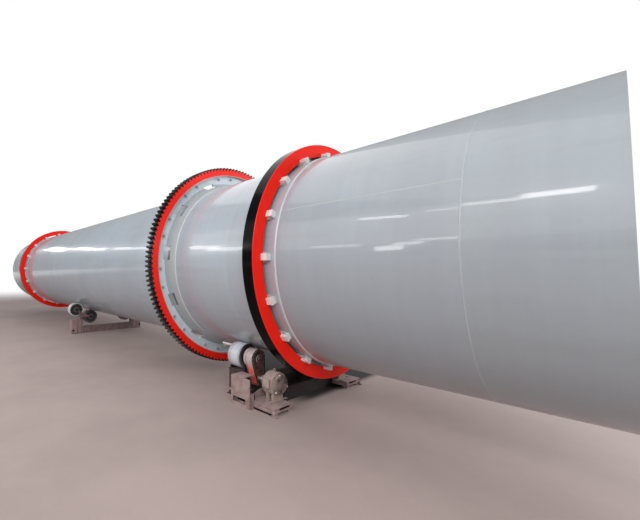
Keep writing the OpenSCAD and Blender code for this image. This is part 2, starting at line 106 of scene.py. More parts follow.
def pick(geometry, kind):
    return [part for part in geometry if isinstance(part, kind)]


def edgesOf(verts):
    return list({link for vert in verts for link in vert.link_edges})


def rimsOf(verts, steps):
    return [edge for edge in edgesOf(verts) if any(len(face.verts) == steps for face in edge.link_faces)]


def bevelEdges(bm, edges, width, segments=2):
    if width > 0 and edges:
        bmesh.ops.bevel(bm, geom=edges, offset=width, offset_type="OFFSET", affect="EDGES",
                        segments=segments, profile=0.5, material=-1, clamp_overlap=True)


def addBlock(bm, centre, size, edge=0.002, turn=None, segments=2):
    made = bmesh.ops.create_cube(bm, size=1.0)["verts"]
    bmesh.ops.scale(bm, vec=Vector(size), verts=made)
    place = Matrix.Translation(Vector(centre)) @ (turn or Matrix.Identity(4))
    bmesh.ops.transform(bm, matrix=place, verts=made)
    bevelEdges(bm, edgesOf(made), edge, segments)


def addSpan(bm, low, high, edge=0.002):
    low, high = Vector(low), Vector(high)
    addBlock(bm, (low + high) / 2, high - low, edge)


def addRound(bm, centre, axis, radius, length, edge=0.001, steps=24):
    made = bmesh.ops.create_cone(bm, cap_ends=True, cap_tris=False, segments=steps, radius1=radius,
                                 radius2=radius, depth=length)["verts"]
    bmesh.ops.transform(bm, matrix=Matrix.Translation(Vector(centre)) @ turnTo(axis), verts=made)
    bevelEdges(bm, rimsOf(made, steps), edge, 1)


def addSpun(bm, profile, centre, axis, steps):
    # Spins a closed profile of (step along the axis, distance from it) about a level axis
    points = [bm.verts.new(centre + axis * step + upward * reach) for step, reach in profile]
    lines = [bm.edges.new(pair) for pair in zip(points, points[1:] + points[:1])]
    bmesh.ops.spin(bm, geom=points + lines, cent=centre, axis=axis, angle=fullTurn, steps=steps,
                   use_merge=True, use_duplicate=False)


def addRing(bm, centre, axis, radius, thickness, steps, sides=8):
    # A round bar bent into a ring
    turns = [fullTurn * index / sides for index in range(sides)]
    profile = [(thickness * math.sin(turn), radius + thickness * math.cos(turn)) for turn in turns]
    addSpun(bm, profile, centre, axis, steps)


def addBolt(bm, seat, direction, size, washer=True, stud=0.4):
    # Washer, hexagon and stud end, all in shares of the bolt's size
    seat = Vector(seat)
    if washer:
        addRound(bm, seat + direction * size * 0.1, direction, size * 1.05, size * 0.2, size * 0.03, 16)
    addRound(bm, seat + direction * size * 0.52, direction, size * 0.88, size * 0.72, size * 0.09, 6)
    if stud > 0:
        tip = seat + direction * size * (0.88 + stud / 2)
        addRound(bm, tip, direction, size * 0.48, size * stud, size * 0.07, 12)


def addBoltRing(bm, centre, radius, count, way, size, washer=True, stud=0.5, shift=0.0):
    for index in range(count):
        seat = centre + spokeAt(360 * (index + shift) / count) * radius
        addBolt(bm, seat, along * way, size, washer, stud)


def addRodWeld(bm, start, end, radius=0.004, pitch=0.012):
    # A bead lying in a corner, with the scales that each pass leaves
    start, end = Vector(start), Vector(end)
    line = end - start
    count = max(2, round(line.length / pitch))
    made = bmesh.ops.create_circle(bm, cap_ends=True, segments=6, radius=radius)["verts"]
    bmesh.ops.transform(bm, matrix=Matrix.Translation(start) @ turnTo(line), verts=made)
    ring = edgesOf(made)
    for step in range(count):
        grown = bmesh.ops.extrude_edge_only(bm, edges=ring)["geom"]
        ring, verts = pick(grown, bmesh.types.BMEdge), pick(grown, bmesh.types.BMVert)
        middle = start + line * (step + 1) / count
        swell = 1.12 if step % 2 else 0.9
        bmesh.ops.translate(bm, vec=line / count, verts=verts)
        for vert in verts:
            vert.co = middle + (vert.co - middle).normalized() * radius * swell
    bmesh.ops.contextual_create(bm, geom=ring)


def addLink(bm, head, headRadius, foot, footRadius, normal, thickness, edge, steps):
    # A plate whose outline wraps a round head and a round foot
    line = foot - head
    reach = (headRadius - footRadius) / line.length
    made = bmesh.ops.create_circle(bm, cap_ends=True, segments=steps, radius=1.0)["verts"]
    bmesh.ops.transform(bm, matrix=turnTo(normal), verts=made)
    for vert in made:
        way = vert.co.normalized()
        low = way.dot(line.normalized()) > reach
        vert.co = foot + way * footRadius if low else head + way * headRadius
    sheet = list({face for vert in made for face in vert.link_faces})
    grown = bmesh.ops.extrude_face_region(bm, geom=sheet, use_keep_orig=True)["geom"]
    top = pick(grown, bmesh.types.BMVert)
    bmesh.ops.translate(bm, vec=normal * thickness, verts=top)
    bevelEdges(bm, rimsOf(top + made, steps), edge, 1)


def addRingWeld(bm, x, radius, size, steps, lift=1, rise=0.0, seed=0.0):
    # A crowned bead round the drum, uneven as dressed by hand; rise lifts the side on the thicker plate
    width, height = size
    before = set(bm.verts)
    profile = []
    for share in (-0.5, -0.28, 0, 0.28, 0.5):
        crown = lift * height * (1 - (2 * share) ** 2)
        step = abs(rise) * min(1.0, max(0.0, 0.5 - share * math.copysign(1, rise)))
        profile.append((x + width * share, radius + crown + step))
    root = radius - lift * 0.003
    addSpun(bm, profile + [(x + width / 2, root), (x - width / 2, root)], drumCentre, along, steps)
    for vert in set(bm.verts) - before:
        spoke = Vector((0, vert.co.y, vert.co.z - drum["axis"]))
        if (spoke.length - radius) * lift > height * 0.3:
            ripple = noise.noise(Vector((vert.co.x * 3 + seed, vert.co.y * 26, vert.co.z * 26)))
            vert.co += spoke.normalized() * lift * ripple * height * 0.4
            vert.co.x += 0.1 * width * noise.noise(Vector((seed, vert.co.y * 9, vert.co.z * 9)))


def finishPiece(name, bm, finish, body, sharp=40, outward=True):
    bmesh.ops.remove_doubles(bm, verts=bm.verts, dist=0.00001)
    if outward:
        bmesh.ops.recalc_face_normals(bm, faces=bm.faces)
    limit = math.radians(sharp)
    for face in bm.faces:
        face.smooth = True
    for edge in bm.edges:
        edge.smooth = len(edge.link_faces) != 2 or edge.calc_face_angle(0) < limit
    piece = addObject(name, bm)
    piece.data.materials.append(materials[finish])
    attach(piece, body)


def addObject(name, bm):
    mesh = bpy.data.meshes.new(name)
    bm.to_mesh(mesh)
    bm.free()
    made = bpy.data.objects.new(name, mesh)
    bpy.context.scene.collection.objects.link(made)
    return made


# Node helpers: each one adds to the tree that was opened last

graph = {}


def openTree(tree):
    graph["tree"] = tree
    tree.nodes.clear()


def feed(target, value):
    if isinstance(value, bpy.types.NodeSocket):
        graph["tree"].links.new(value, target)
    elif isinstance(value, tuple) and len(value) == 3 and target.type == "RGBA":
        target.default_value = (*value, 1)
    else:
        target.default_value = value


def addNode(kind, inputs=None, **settings):
    node = graph["tree"].nodes.new("ShaderNode" + kind)
    for name, value in settings.items():
        setattr(node, name, value)
    for label, value in (inputs or {}).items():
        feed(node.inputs[label], value)
    return node


def calc(operation, first, second=0.0, clamp=False):
    return addNode("Math", {0: first, 1: second}, operation=operation, use_clamp=clamp).outputs[0]


def times(first, second, clamp=False):
    return calc("MULTIPLY", first, second, clamp)


def plus(first, second, clamp=False):
    return calc("ADD", first, second, clamp)


def minus(first, second, clamp=False):
    return calc("SUBTRACT", first, second, clamp)


def lengthOf(first, second):
    return calc("SQRT", plus(times(first, first), times(second, second)))


def remap(value, low, high, outLow=0.0, outHigh=1.0):
    ranges = {"Value": value, "From Min": low, "From Max": high, "To Min": outLow, "To Max": outHigh}
    return addNode("MapRange", ranges, interpolation_type="SMOOTHSTEP").outputs["Result"]


def below(value, low, high):
    return remap(value, low, high, 1.0, 0.0)


def blend(share, first, second):
    return addNode("Mix", {0: share, 6: first, 7: second}, data_type="RGBA").outputs[2]


def noiseAt(vector, scale, detail=3.0, roughness=0.55, distortion=0.0):
    inputs = {"Vector": vector, "Scale": scale, "Detail": detail, "Roughness": roughness}
    return addNode("TexNoise", {**inputs, "Distortion": distortion}).outputs["Fac"]


def stretched(vector, scale):
    return addNode("Mapping", {"Vector": vector, "Scale": scale}).outputs["Vector"]


def objectPlace():
    return addNode("TexCoord").outputs["Object"]


def splitUp(vector):
    return addNode("SeparateXYZ", {0: vector}).outputs


def openGroup(name, **defaults):
    tree = bpy.data.node_groups.new(name, "ShaderNodeTree")
    openTree(tree)
    for label, value in defaults.items():
        item = tree.interface.new_socket(name=label, in_out="INPUT", socket_type="NodeSocketFloat")
        item.default_value = value
    return tree.nodes.new("NodeGroupInput").outputs


def closeGroup(**results):
    tree = graph["tree"]
    for label, result in results.items():
        kind = "NodeSocketColor" if result.type == "RGBA" else "NodeSocketFloat"
        tree.interface.new_socket(name=label, in_out="OUTPUT", socket_type=kind)
    made = tree.nodes.new("NodeGroupOutput").inputs
    for label, result in results.items():
        feed(made[label], result)
    return tree


def useGroup(group, **values):
    return addNode("Group", values, node_tree=group).outputs


# Shared finishes

def makeCloud():
    # Broad shifts of tone, fine speckle, thin runs and the height of sprayed paint
    size = openGroup("paintCloud", Scale=1.0)["Scale"]
    where = objectPlace()
    broad = noiseAt(where, times(size, 1.3), 4, 0.5, 0.4)
    fine = noiseAt(where, times(size, 38.0), 3, 0.6)
    runs = noiseAt(stretched(where, (1.0, 1.0, 0.12)), times(size, 26.0), 3, 0.6)
    peel = noiseAt(where, times(size, 120.0), 2, 0.5)
    wave = noiseAt(where, times(size, 7.0), 2, 0.4)
    return closeGroup(Broad=remap(broad, 0.38, 0.66), Fine=remap(fine, 0.35, 0.7),
                      Runs=remap(runs, 0.5, 0.74), Height=plus(times(peel, 0.2), wave))


def makeWear():
    # Where an edge is rubbed through to the steel
    given = openGroup("edgeWear", Width=0.004, Scale=30.0)
    rounded = addNode("Bevel", {"Radius": given["Width"]}, samples=4).outputs["Normal"]
    straight = addNode("NewGeometry").outputs["Normal"]
    same = addNode("VectorMath", {0: rounded, 1: straight}, operation="DOT_PRODUCT").outputs["Value"]
    bend = remap(minus(1.0, same), 0.01, 0.16)
    patchy = remap(noiseAt(objectPlace(), given["Scale"], 5, 0.7), 0.42, 0.62)
    return closeGroup(Mask=times(bend, patchy, True))


def makeRust():
    # Freckles and blooms of rust with their own colour
    given = openGroup("rustBloom", Scale=6.0, Reach=0.5)
    where = objectPlace()
    patch = noiseAt(where, given["Scale"], 7, 0.68, 0.6)
    edge = minus(0.78, times(given["Reach"], 0.4))
    grain = noiseAt(where, times(given["Scale"], 14.0), 4, 0.7)
    return closeGroup(Mask=remap(patch, edge, plus(edge, 0.09)),
                      Colour=blend(remap(grain, 0.35, 0.65), (0.09, 0.033, 0.016), (0.25, 0.1, 0.045)))


def makeDust():
    # Shop dust: thick on faces that look up, thin film elsewhere
    given = openGroup("shopDust", Scale=9.0, Film=0.25)
    spot = addNode("TexCoord").outputs
    tilt = remap(splitUp(spot["Normal"])["Z"], 0.15, 0.95)
    cloud = remap(noiseAt(spot["Object"], given["Scale"], 5, 0.6), 0.3, 0.62)
    settled = times(tilt, plus(times(cloud, 0.5), 0.5))
    return closeGroup(Mask=calc("MAXIMUM", settled, times(cloud, given["Film"]), True))


def makeDrumPlace():
    # Distance from the drum's axis, place along it, and how far a face looks along it
    given = openGroup("drumPlace", AxisHeight=1.0)
    spot = addNode("TexCoord").outputs
    part = splitUp(spot["Object"])
    normal = splitUp(spot["Normal"])["X"]
    return closeGroup(Radius=lengthOf(part["Y"], minus(part["Z"], given["AxisHeight"])), Along=part["X"],
                      Facing=calc("ABSOLUTE", normal), End=normal)


cloudGroup = makeCloud()
wearGroup = makeWear()
rustGroup = makeRust()
dustGroup = makeDust()
drumPlaceGroup = makeDrumPlace()
print("shared finishes ready")


# Materials

plainLook = dict(
    roughness=0.42, coat=0.0, coatRoughness=0.1, specular=0.5, metallic=0.0,
    cloudScale=1.0, cloud=0.35, cloudColour=(0.2, 0.2, 0.2), fine=0.08, speckColour=(0.02, 0.02, 0.02),
    runs=0.0, runColour=(0.1, 0.08, 0.07), wear=0.6, wearWidth=0.004, wearScale=30.0,
    wearColour=(0.3, 0.29, 0.28), bare=0.7, rust=0.25, rustScale=6.0, rustReach=0.5, dust=0.3, dustScale=9.0,
    film=0.25, dustColour=(0.36, 0.29, 0.26), bump=0.25, bumpDepth=0.002,
)


def newMaterial(name):
    material = bpy.data.materials.new(name)
    material.use_nodes = True
    openTree(material.node_tree)
    graph["material"] = material
    graph["shader"] = addNode("BsdfPrincipled")
    graph["output"] = addNode("OutputMaterial", {"Surface": graph["shader"].outputs["BSDF"]})
    return material


def weather(base, look, roughness=None, metallic=None, coat=None):
    look = {**plainLook, **look}
    cloud = useGroup(cloudGroup, Scale=look["cloudScale"])
    colour = blend(times(cloud["Broad"], look["cloud"]), base, look["cloudColour"])
    colour = blend(times(cloud["Fine"], look["fine"]), colour, look["speckColour"])
    if look["runs"] > 0:
        colour = blend(times(cloud["Runs"], look["runs"]), colour, look["runColour"])
    rough = plus(look["roughness"] if roughness is None else roughness, times(cloud["Broad"], 0.06))
    metal = look["metallic"] if metallic is None else metallic
    height = cloud["Height"]
    if look["wear"] > 0:
        worn = useGroup(wearGroup, Width=look["wearWidth"], Scale=look["wearScale"])["Mask"]
        rubbed = times(worn, look["wear"])
        colour = blend(rubbed, colour, look["wearColour"])
        metal = calc("MAXIMUM", metal, times(rubbed, look["bare"]))
        rough = minus(rough, times(rubbed, 0.08), True)
    if look["rust"] > 0:
        bloom = useGroup(rustGroup, Scale=look["rustScale"], Reach=look["rustReach"])
        spread = times(bloom["Mask"], look["rust"])
        colour = blend(spread, colour, bloom["Colour"])
        rough = plus(rough, times(spread, 0.3), True)
        metal = minus(metal, spread, True)
        height = plus(height, times(spread, 0.6))
    if look["dust"] > 0:
        fallen = useGroup(dustGroup, Scale=look["dustScale"], Film=look["film"])["Mask"]
        settled = times(fallen, look["dust"])
        colour = blend(settled, colour, look["dustColour"])
        rough = plus(rough, times(settled, 0.4), True)
        metal = minus(metal, settled, True)
    bump = addNode("Bump", {"Strength": look["bump"], "Distance": look["bumpDepth"], "Height": height})
    surface = {
        "Base Color": colour, "Roughness": rough, "Metallic": metal, "Specular IOR Level": look["specular"],
        "Coat Weight": look["coat"] if coat is None else times(coat, look["coat"]),
        "Coat Roughness": look["coatRoughness"], "Normal": bump.outputs["Normal"],
    }
    for label, value in surface.items():
        feed(graph["shader"].inputs[label], value)
    return graph["material"]


def painted(name, look):
    newMaterial(name)
    return weather(look["colour"], look)


shellLook = dict(
    colour=(0.315, 0.35, 0.385), cloudColour=(0.285, 0.31, 0.33), cloud=0.3, cloudScale=0.5, fine=0.02,
    roughness=0.3, coat=0.55, coatRoughness=0.05, wear=0.0, rust=0.3, rustScale=2.4, rustReach=0.14, dust=0.1,
    film=0.3, dustScale=1.7, dustColour=(0.42, 0.37, 0.36), bump=0.05, bumpDepth=0.004,
    bandTint=(0.35, 0.40, 0.425), inside=(0.1, 0.075, 0.06), insideRust=(0.2, 0.1, 0.06),
    # The near black under the gear skirt is painted shade
    lip=(0.46, 0.45, 0.44), underSkirtShade=(0.045, 0.045, 0.042),
    lowTone=(0.2, 0.13, 0.1), lowToneTop=0.92, lowToneEnd=0.58,
)
courseTint = {
    "near_end_course": (1.0, 1.0, 1.0), "near_long_course": (1.01, 1.0, 1.02),
    "near_tyre_course": (1.19, 1.19, 1.22), "gear_side_course": (1.27, 1.32, 1.36),
    "mid_courses_odd": (1.2, 1.27, 1.34), "mid_courses_even": (1.17, 1.23, 1.3),
    "far_tyre_course": (1.26, 1.27, 1.34), "far_long_course": (1.18, 1.22, 1.28),
    "far_end_course": (1.2, 1.22, 1.28),
}


def shellPaint(course, tint):
    # Grey top coat outside, mill scale inside, ground steel on the end faces; darker blotches towards the
    # bottom, and painted shade on the shell under the gear skirt
    newMaterial("shellPaint_" + course)
    look = shellLook
    place = useGroup(drumPlaceGroup, AxisHeight=drum["axis"])
    outside = remap(place["Radius"], drum["bore"] + 0.006, drum["bore"] + 0.016)
    atEnd = remap(calc("ABSOLUTE", place["Along"]), drumEnd - 0.004, drumEnd - 0.002)
    lip = times(remap(place["Facing"], 0.8, 0.95), atEnd)
    where = objectPlace()
    sprayed = noiseAt(stretched(where, (1.0, 0.06, 0.06)), 5.0, 4, 0.6)
    lengthwise = noiseAt(stretched(where, (0.08, 1.0, 1.0)), 6.0, 5, 0.65)
    tinted = tuple(channel * share for channel, share in zip(look["colour"], tint))
    base = blend(remap(sprayed, 0.35, 0.7, 0.0, 0.45), tinted, look["bandTint"])
    base = blend(remap(lengthwise, 0.5, 0.75, 0.0, 0.4), base, look["cloudColour"])
    # Darker brown blotches towards the bottom of the shell
    low = below(splitUp(where)["Z"], look["lowToneEnd"], look["lowToneTop"])
    blotch = remap(noiseAt(stretched(where, (1.0, 1.0, 0.5)), 3.4, 6, 0.68), 0.42, 0.7)
    base = blend(times(low, times(blotch, 0.5)), base, look["lowTone"])
    # Painted shade: the shell under the gear skirt is made near black
    skirtShade = times(remap(place["Along"], skirtEnds[0], skirtEnds[0] + 0.01),
                   below(place["Along"], skirtEnds[1] - 0.012, skirtEnds[1] - 0.006))
    base = blend(skirtShade, base, look["underSkirtShade"])
    scale = noiseAt(where, 3.2, 6, 0.7, 0.8)
    raw = blend(remap(scale, 0.4, 0.62), look["inside"], look["insideRust"])
    base = blend(outside, raw, base)
    base = blend(lip, base, look["lip"])
    rough = plus(look["roughness"], remap(outside, 0.0, 1.0, 0.4, 0.0))
    return weather(base, look, rough, times(lip, 0.5), outside)


redLook = dict(
    colour=(0.95, 0.019, 0.008), cloudColour=(0.80, 0.014, 0.007), cloud=0.0, cloudScale=1.6, fine=0.03,
    roughness=0.34, coat=0.15, coatRoughness=0.18, specular=0.3, wear=0.3, wearColour=(0.62, 0.3, 0.26),
    bare=0.1, rust=0.1, rustScale=9.0, rustReach=0.2, dust=0.0, bump=0.1,
    # The pale pink on the gear rim's inner lip is a painted highlight
    black=(0.0012, 0.0013, 0.002), greased=(0.003, 0.003, 0.004), lipHighlightPink=(0.66, 0.40, 0.37),
)


def tyrePaint():
    # Red primer on the side faces, black slushing compound on the running face and in the bore
    newMaterial("tyrePaint")
    place = useGroup(drumPlaceGroup, AxisHeight=drum["axis"])
    ragged = times(noiseAt(objectPlace(), 14.0, 4, 0.6), 0.35)
    side = remap(plus(place["Facing"], ragged), 0.68, 0.74)
    streaks = noiseAt(stretched(objectPlace(), (1.0, 0.05, 0.05)), 60.0, 3, 0.6)
    running = blend(remap(streaks, 0.45, 0.7), redLook["black"], redLook["greased"])
    look = dict(redLook, fine=0.0, specular=0.06, rust=0.0)
    rough = remap(side, 0.0, 1.0, 0.14, 0.34)
    return weather(blend(side, running, redLook["colour"]), look, rough, None, side)


gearBand = {"ragged": 0.03, "tooth": (0.011, 0.003), "lipSide": (0.128, 0.123), "lipTop": (0.128, 0.12)}


def gearPaint():
    # Red faces, greased black flanks and lands, and a painted pale highlight on the rim's inner lip
    newMaterial("gearPaint")
    place = useGroup(drumPlaceGroup, AxisHeight=drum["axis"])

    def within(radius, band):
        return below(radius, *(drum["gear"] - depth for depth in gearBand[band]))

    ragged = times(noiseAt(objectPlace(), 20.0, 4, 0.6), gearBand["ragged"])
    body = within(plus(place["Radius"], ragged), "tooth")
    side = times(remap(place["Facing"], 0.6, 0.8), body)
    teeth = blend(within(place["Radius"], "lipTop"), redLook["greased"], redLook["lipHighlightPink"])
    faces = blend(within(place["Radius"], "lipSide"), redLook["colour"], redLook["lipHighlightPink"])
    rough = remap(side, 0.0, 1.0, 0.36, 0.3)
    return weather(blend(side, teeth, faces), dict(redLook, wear=0.25), rough, None, side)


def toned(look, colour, cloudColour, **changes):
    return dict(look, colour=colour, cloudColour=cloudColour, **changes)


palePaint = dict(colour=(0.70, 0.82, 0.90), cloudColour=(0.58, 0.68, 0.74), cloud=0.4, roughness=0.34,
                 coat=0.25, wear=0.15, rust=0.15, rustReach=0.2, dust=0.06, film=0.4, bump=0.1)
beadSteel = dict(colour=(0.40, 0.43, 0.45), cloudColour=(0.35, 0.37, 0.38), cloudScale=4.0, roughness=0.3,
                 coat=0.4, wear=0.0, rust=0.1, rustReach=0.2, dust=0.1, bump=0.15)
standSteel = dict(colour=(0.29, 0.185, 0.17), cloudColour=(0.2, 0.12, 0.105), cloudScale=3.0, cloud=0.55,
                  roughness=0.62, runs=0.25, rust=0.45, rustScale=8.0, wearColour=(0.5, 0.42, 0.4), bare=0.15,
                  dust=0.8, film=0.75, dustColour=(0.42, 0.325, 0.315), bump=0.5)
darkSteel = toned(standSteel, (0.04, 0.019, 0.017), (0.018, 0.01, 0.01), dustColour=(0.13, 0.085, 0.078),
                  film=0.3, dust=0.6, wearColour=(0.25, 0.17, 0.16))
farSteel = toned(standSteel, (0.15, 0.09, 0.088), (0.09, 0.05, 0.048), dustColour=(0.27, 0.19, 0.185),
                 film=0.5)
cheekSteel = dict(colour=(0.008, 0.009, 0.016), cloudColour=(0.02, 0.018, 0.022), roughness=0.5,
                  cloudScale=3.0, wear=0.5, wearColour=(0.1, 0.09, 0.1), rust=0.15, dust=0.2, film=0.1,
                  dustColour=(0.2, 0.15, 0.14))
motorPaint = dict(colour=(0.36, 0.28, 0.24), cloudColour=(0.22, 0.15, 0.13), cloudScale=5.0, roughness=0.55,
                  runs=0.25, rust=0.2, rustReach=0.35, rustScale=14.0, wearWidth=0.003,
                  wearColour=(0.6, 0.54, 0.48), bare=0.1, dust=0.7, film=0.6, dustScale=12.0,
                  # The fan cover's dark colour is painted shade
                  dustColour=(0.5, 0.39, 0.35), bump=0.4, coverShadeColour=(0.04, 0.028, 0.024), coverStart=5.703)
pinSteel = dict(colour=(0.5, 0.49, 0.48), cloudColour=(0.3, 0.28, 0.27), roughness=0.34, metallic=0.85,
                cloudScale=6.0, wear=0.0, rust=0.3, rustScale=18.0, dust=0.25)
plainFinishes = {
    "web": palePaint, "beads": beadSteel, "stands": standSteel, "dark": darkSteel, "far": farSteel,
    "cheeks": cheekSteel, "pins": pinSteel,
    "skirt": toned(palePaint, (0.42, 0.48, 0.5), (0.35, 0.39, 0.4)),
    "blocks": toned(palePaint, (0.80, 0.80, 0.79), (0.62, 0.6, 0.58), wear=0.3),
    "pads": toned(palePaint, (0.5, 0.49, 0.49), (0.3, 0.27, 0.26), wear=0.2),
    "webBolts": toned(palePaint, (0.36, 0.42, 0.45), (0.25, 0.29, 0.31)),
    "bolts": dict(colour=(0.2, 0.24, 0.26), cloudColour=(0.11, 0.13, 0.14), roughness=0.4, metallic=0.6,
                  cloudScale=6.0, wearWidth=0.0015, rust=0.3, dust=0.15),
    "brightBeads": toned(beadSteel, (0.58, 0.6, 0.61), (0.5, 0.51, 0.52), rust=0.05),
    # Near black beam and rail: painted shade under the drum
    "beam": toned(darkSteel, (0.016, 0.009, 0.009), (0.01, 0.007, 0.007), dustColour=(0.05, 0.034, 0.032),
                  wearColour=(0.12, 0.085, 0.08)),
    "farPost": toned(farSteel, (0.31, 0.205, 0.2), (0.19, 0.12, 0.115), dustColour=(0.4, 0.3, 0.29)),
    "wheels": toned(cheekSteel, (0.014, 0.024, 0.022), (0.03, 0.04, 0.036)),
    "rod": toned(pinSteel, (0.8, 0.74, 0.74), (0.66, 0.58, 0.57), metallic=0.1, rust=0.1, dust=0.0),
    "fittings": toned(motorPaint, (0.16, 0.14, 0.13), (0.1, 0.085, 0.08), rust=0.0, dust=0.5),
    # Near black for openings and gaps: painted shade where there is only a hole
    "holes": dict(colour=(0.006, 0.005, 0.005), cloudColour=(0.012, 0.01, 0.01), roughness=0.9, wear=0.0,
                  rust=0.0, dust=0.05, specular=0.1),
}
treadLook = dict(roughness=0.34, cloud=0.3, cloudColour=(0.28, 0.3, 0.34), cloudScale=4.0, coat=0.1, wear=0.3,
                 wearWidth=0.003, wearColour=(0.5, 0.52, 0.55), bare=0.0, rust=0.1, rustReach=0.2, dust=0.12,
                 film=0.3, bump=0.15)
treads = {
    "nearTread": {"ends": endsOf("near_front_tread"), "left": (0.52, 0.46, 0.5), "middle": (0.78, 0.82, 0.9),
                  "right": (0.28, 0.3, 0.36), "scuff": (0.36, 0.36, 0.42), "ring": (0.006, 0.006, 0.009)},
    "outerTread": {"ends": endsOf("far_front_outer_tread"), "left": (0.6, 0.6, 0.6),
                   "middle": (0.72, 0.72, 0.72), "right": (0.75, 0.76, 0.77), "scuff": (0.4, 0.4, 0.4),
                   "ring": (0.66, 0.68, 0.68), "disc": (0.012, 0.02, 0.019),
                   "axis": centreOf("far_back_outer_tread"), "radius": heightOf("far_back_outer_tread") / 2},
    # The inner treads' near black tones are painted shade
    "shadedInnerTread": {"ends": endsOf("far_front_outer_tread"), "left": (0.06, 0.04, 0.045),
                   "middle": (0.09, 0.06, 0.065), "right": (0.05, 0.03, 0.035), "scuff": (0.03, 0.02, 0.02),
                   "ring": (0.022, 0.012, 0.016)},
}


def treadPaint(name, tread):
    # A running face worn in bands along its width, with its end rings in another tone; on the inner treads
    # all tones are near black as painted shade
    newMaterial(name)
    place = useGroup(drumPlaceGroup, AxisHeight=0.0)
    scuffs = noiseAt(stretched(objectPlace(), (1.0, 0.1, 0.1)), 70.0, 4, 0.6)
    start, end = tread["ends"]
    base = blend(remap(place["Along"], start, (start + end) / 2), tread["left"], tread["middle"])
    base = blend(remap(place["Along"], end - (end - start) * 0.26, end), base, tread["right"])
    base = blend(remap(scuffs, 0.45, 0.72, 0.0, 0.5), base, tread["scuff"])
    ring = tread["ring"]
    if "axis" in tread:  # only the outer edge of the ring is bright
        part = splitUp(objectPlace())
        aside = minus(calc("ABSOLUTE", part["Y"]), tread["axis"].y)
        reach = lengthOf(aside, minus(part["Z"], tread["axis"].z))
        ring = blend(remap(reach, tread["radius"] - 0.02, tread["radius"] - 0.012), tread["disc"], ring)
    return weather(blend(remap(place["Facing"], 0.6, 0.8), base, ring), treadLook)


caseLook = dict(
    cloud=0.2, cloudScale=5.0, cloudColour=(0.2, 0.1, 0.09), runs=0.2, rust=0.1, dust=0.25, film=0.1,
    dustColour=(0.55, 0.44, 0.43), wear=0.4, wearColour=(0.62, 0.42, 0.4), bare=0.1, bump=0.35,
    # The near face's dark brown is painted shade
    barrel=(0.58, 0.5, 0.485), arm=(0.80, 0.16, 0.12), shadeBrown=(0.014, 0.007, 0.007),
    smear=(0.12, 0.05, 0.038),
)


def casePaint():
    # Dark brown painted shade on the near face, salmon red on the arm's sides, pale pink on the barrel above
    # the arm
    newMaterial("casePaint")
    where = objectPlace()
    front = remap(useGroup(drumPlaceGroup, AxisHeight=0.0)["End"], 0.6, 0.85)
    wander = times(noiseAt(where, 9.0, 4, 0.6), 0.12)
    low = below(plus(splitUp(where)["Z"], wander), 0.43, 0.55)
    side = blend(low, caseLook["barrel"], caseLook["arm"])
    smear = remap(noiseAt(where, 16.0, 5, 0.7), 0.4, 0.64)
    return weather(blend(front, side, blend(smear, caseLook["shadeBrown"], caseLook["smear"])), caseLook)


def motorFinish():
    # The fan cover at the motor's tail is painted darker than its body, as painted shade
    newMaterial("motorFinish")
    tail = remap(splitUp(objectPlace())["X"], motorPaint["coverStart"], motorPaint["coverStart"] + 0.01)
    return weather(blend(tail, motorPaint["colour"], motorPaint["coverShadeColour"]), motorPaint)


materials = {"tyre": tyrePaint(), "gear": gearPaint(), "case": casePaint(), "motors": motorFinish()}
for finish, tread in treads.items():
    materials[finish] = treadPaint(finish, tread)
for finish, look in plainFinishes.items():
    materials[finish] = painted(finish + "Finish", look)
finishOf = {
    "tyre": ["near_tyre", "far_tyre"], "gear": ["gear_rim"], "web": ["gear_web"], "skirt": ["gear_skirt"],
    "pads": ["tyre_pads"], "blocks": ["tyre_blocks"], "webBolts": ["web_bolts"],
    "nearTread": nodesWith("_tread", "near_"), "outerTread": nodesWith("_outer_tread"),
    "shadedInnerTread": nodesWith("_inner_tread"), "wheels": nodesWith("_wheel"),
    "stands": ["near_end_boxes", "motor_benches"], "dark": ["near_pedestals"],
    "beam": ["near_cross_beam", "bench_rail"], "cheeks": ["roller_cheeks"], "case": ["gear_cases"],
    "motors": ["motors"], "pins": ["motor_shafts", "bogie_pivots"], "far": ["far_cross_beam", "bogie_plates"],
    "farPost": ["far_pedestals"],
}


def dress(names, material):
    for name in names:
        for holder in nodes[name].material_slots:
            holder.material = material


for course, tint in courseTint.items():
    dress([course], shellPaint(course, tint))
for finish, names in finishOf.items():
    dress(names, materials[finish])
print("nodes dressed")


# Drum seams: a bead round every joint of two courses, outside and in the bore, and one along each course

ringWeld = {"size": (0.012, 0.0022), "steps": 300, "bright": (0.016, 0.003), "foot": 0.012, "innerSteps": 180}
longWeld = {"width": 0.013, "height": 0.0022, "inset": 0.012,
            "angles": (205, 148, 232, 160, 218, 140, 196, 226, 152, 210, 24, 238, 157.8, 62)}


def seamStations():
    places = {round(vert.co.x, 3) for name in courseTint for vert in nodes[name].data.vertices}
    kept = []
    for x in sorted(places):
        if not kept or x - kept[-1] > 0.05:
            kept.append(x)
    return kept


def radiusAt(x):
    thick = any(low < x < high for low, high in (endsOf("near_tyre_course"), endsOf("far_tyre_course")))
    return drum["thick"] if thick else drum["shell"]


def buildRingWelds(stations):
    plain, bright, inner = blanks(3)
    for index, x in enumerate(stations[1:-1]):
        rise = radiusAt(x - 0.01) - radiusAt(x + 0.01)
        if abs(x - skirtEnds[1]) < 0.01:
            rise = ringWeld["foot"]
        target, size = (bright if rise > 0 else plain), ringWeld["bright" if rise else "size"]
        shift = math.copysign(0.004, rise) if rise else 0.0
        addRingWeld(target, x + shift, drum["shell"], size, ringWeld["steps"], 1, rise, index * 3.1)
        addRingWeld(inner, x, drum["bore"], ringWeld["size"], ringWeld["innerSteps"], -1, 0.0, index * 5.3)
    finishPiece("shell_ring_welds", plain, "beads", "drum", 60)
    finishPiece("shell_step_welds", bright, "brightBeads", "drum", 60)
    finishPiece("bore_ring_welds", inner, "dark", "drum", 60)


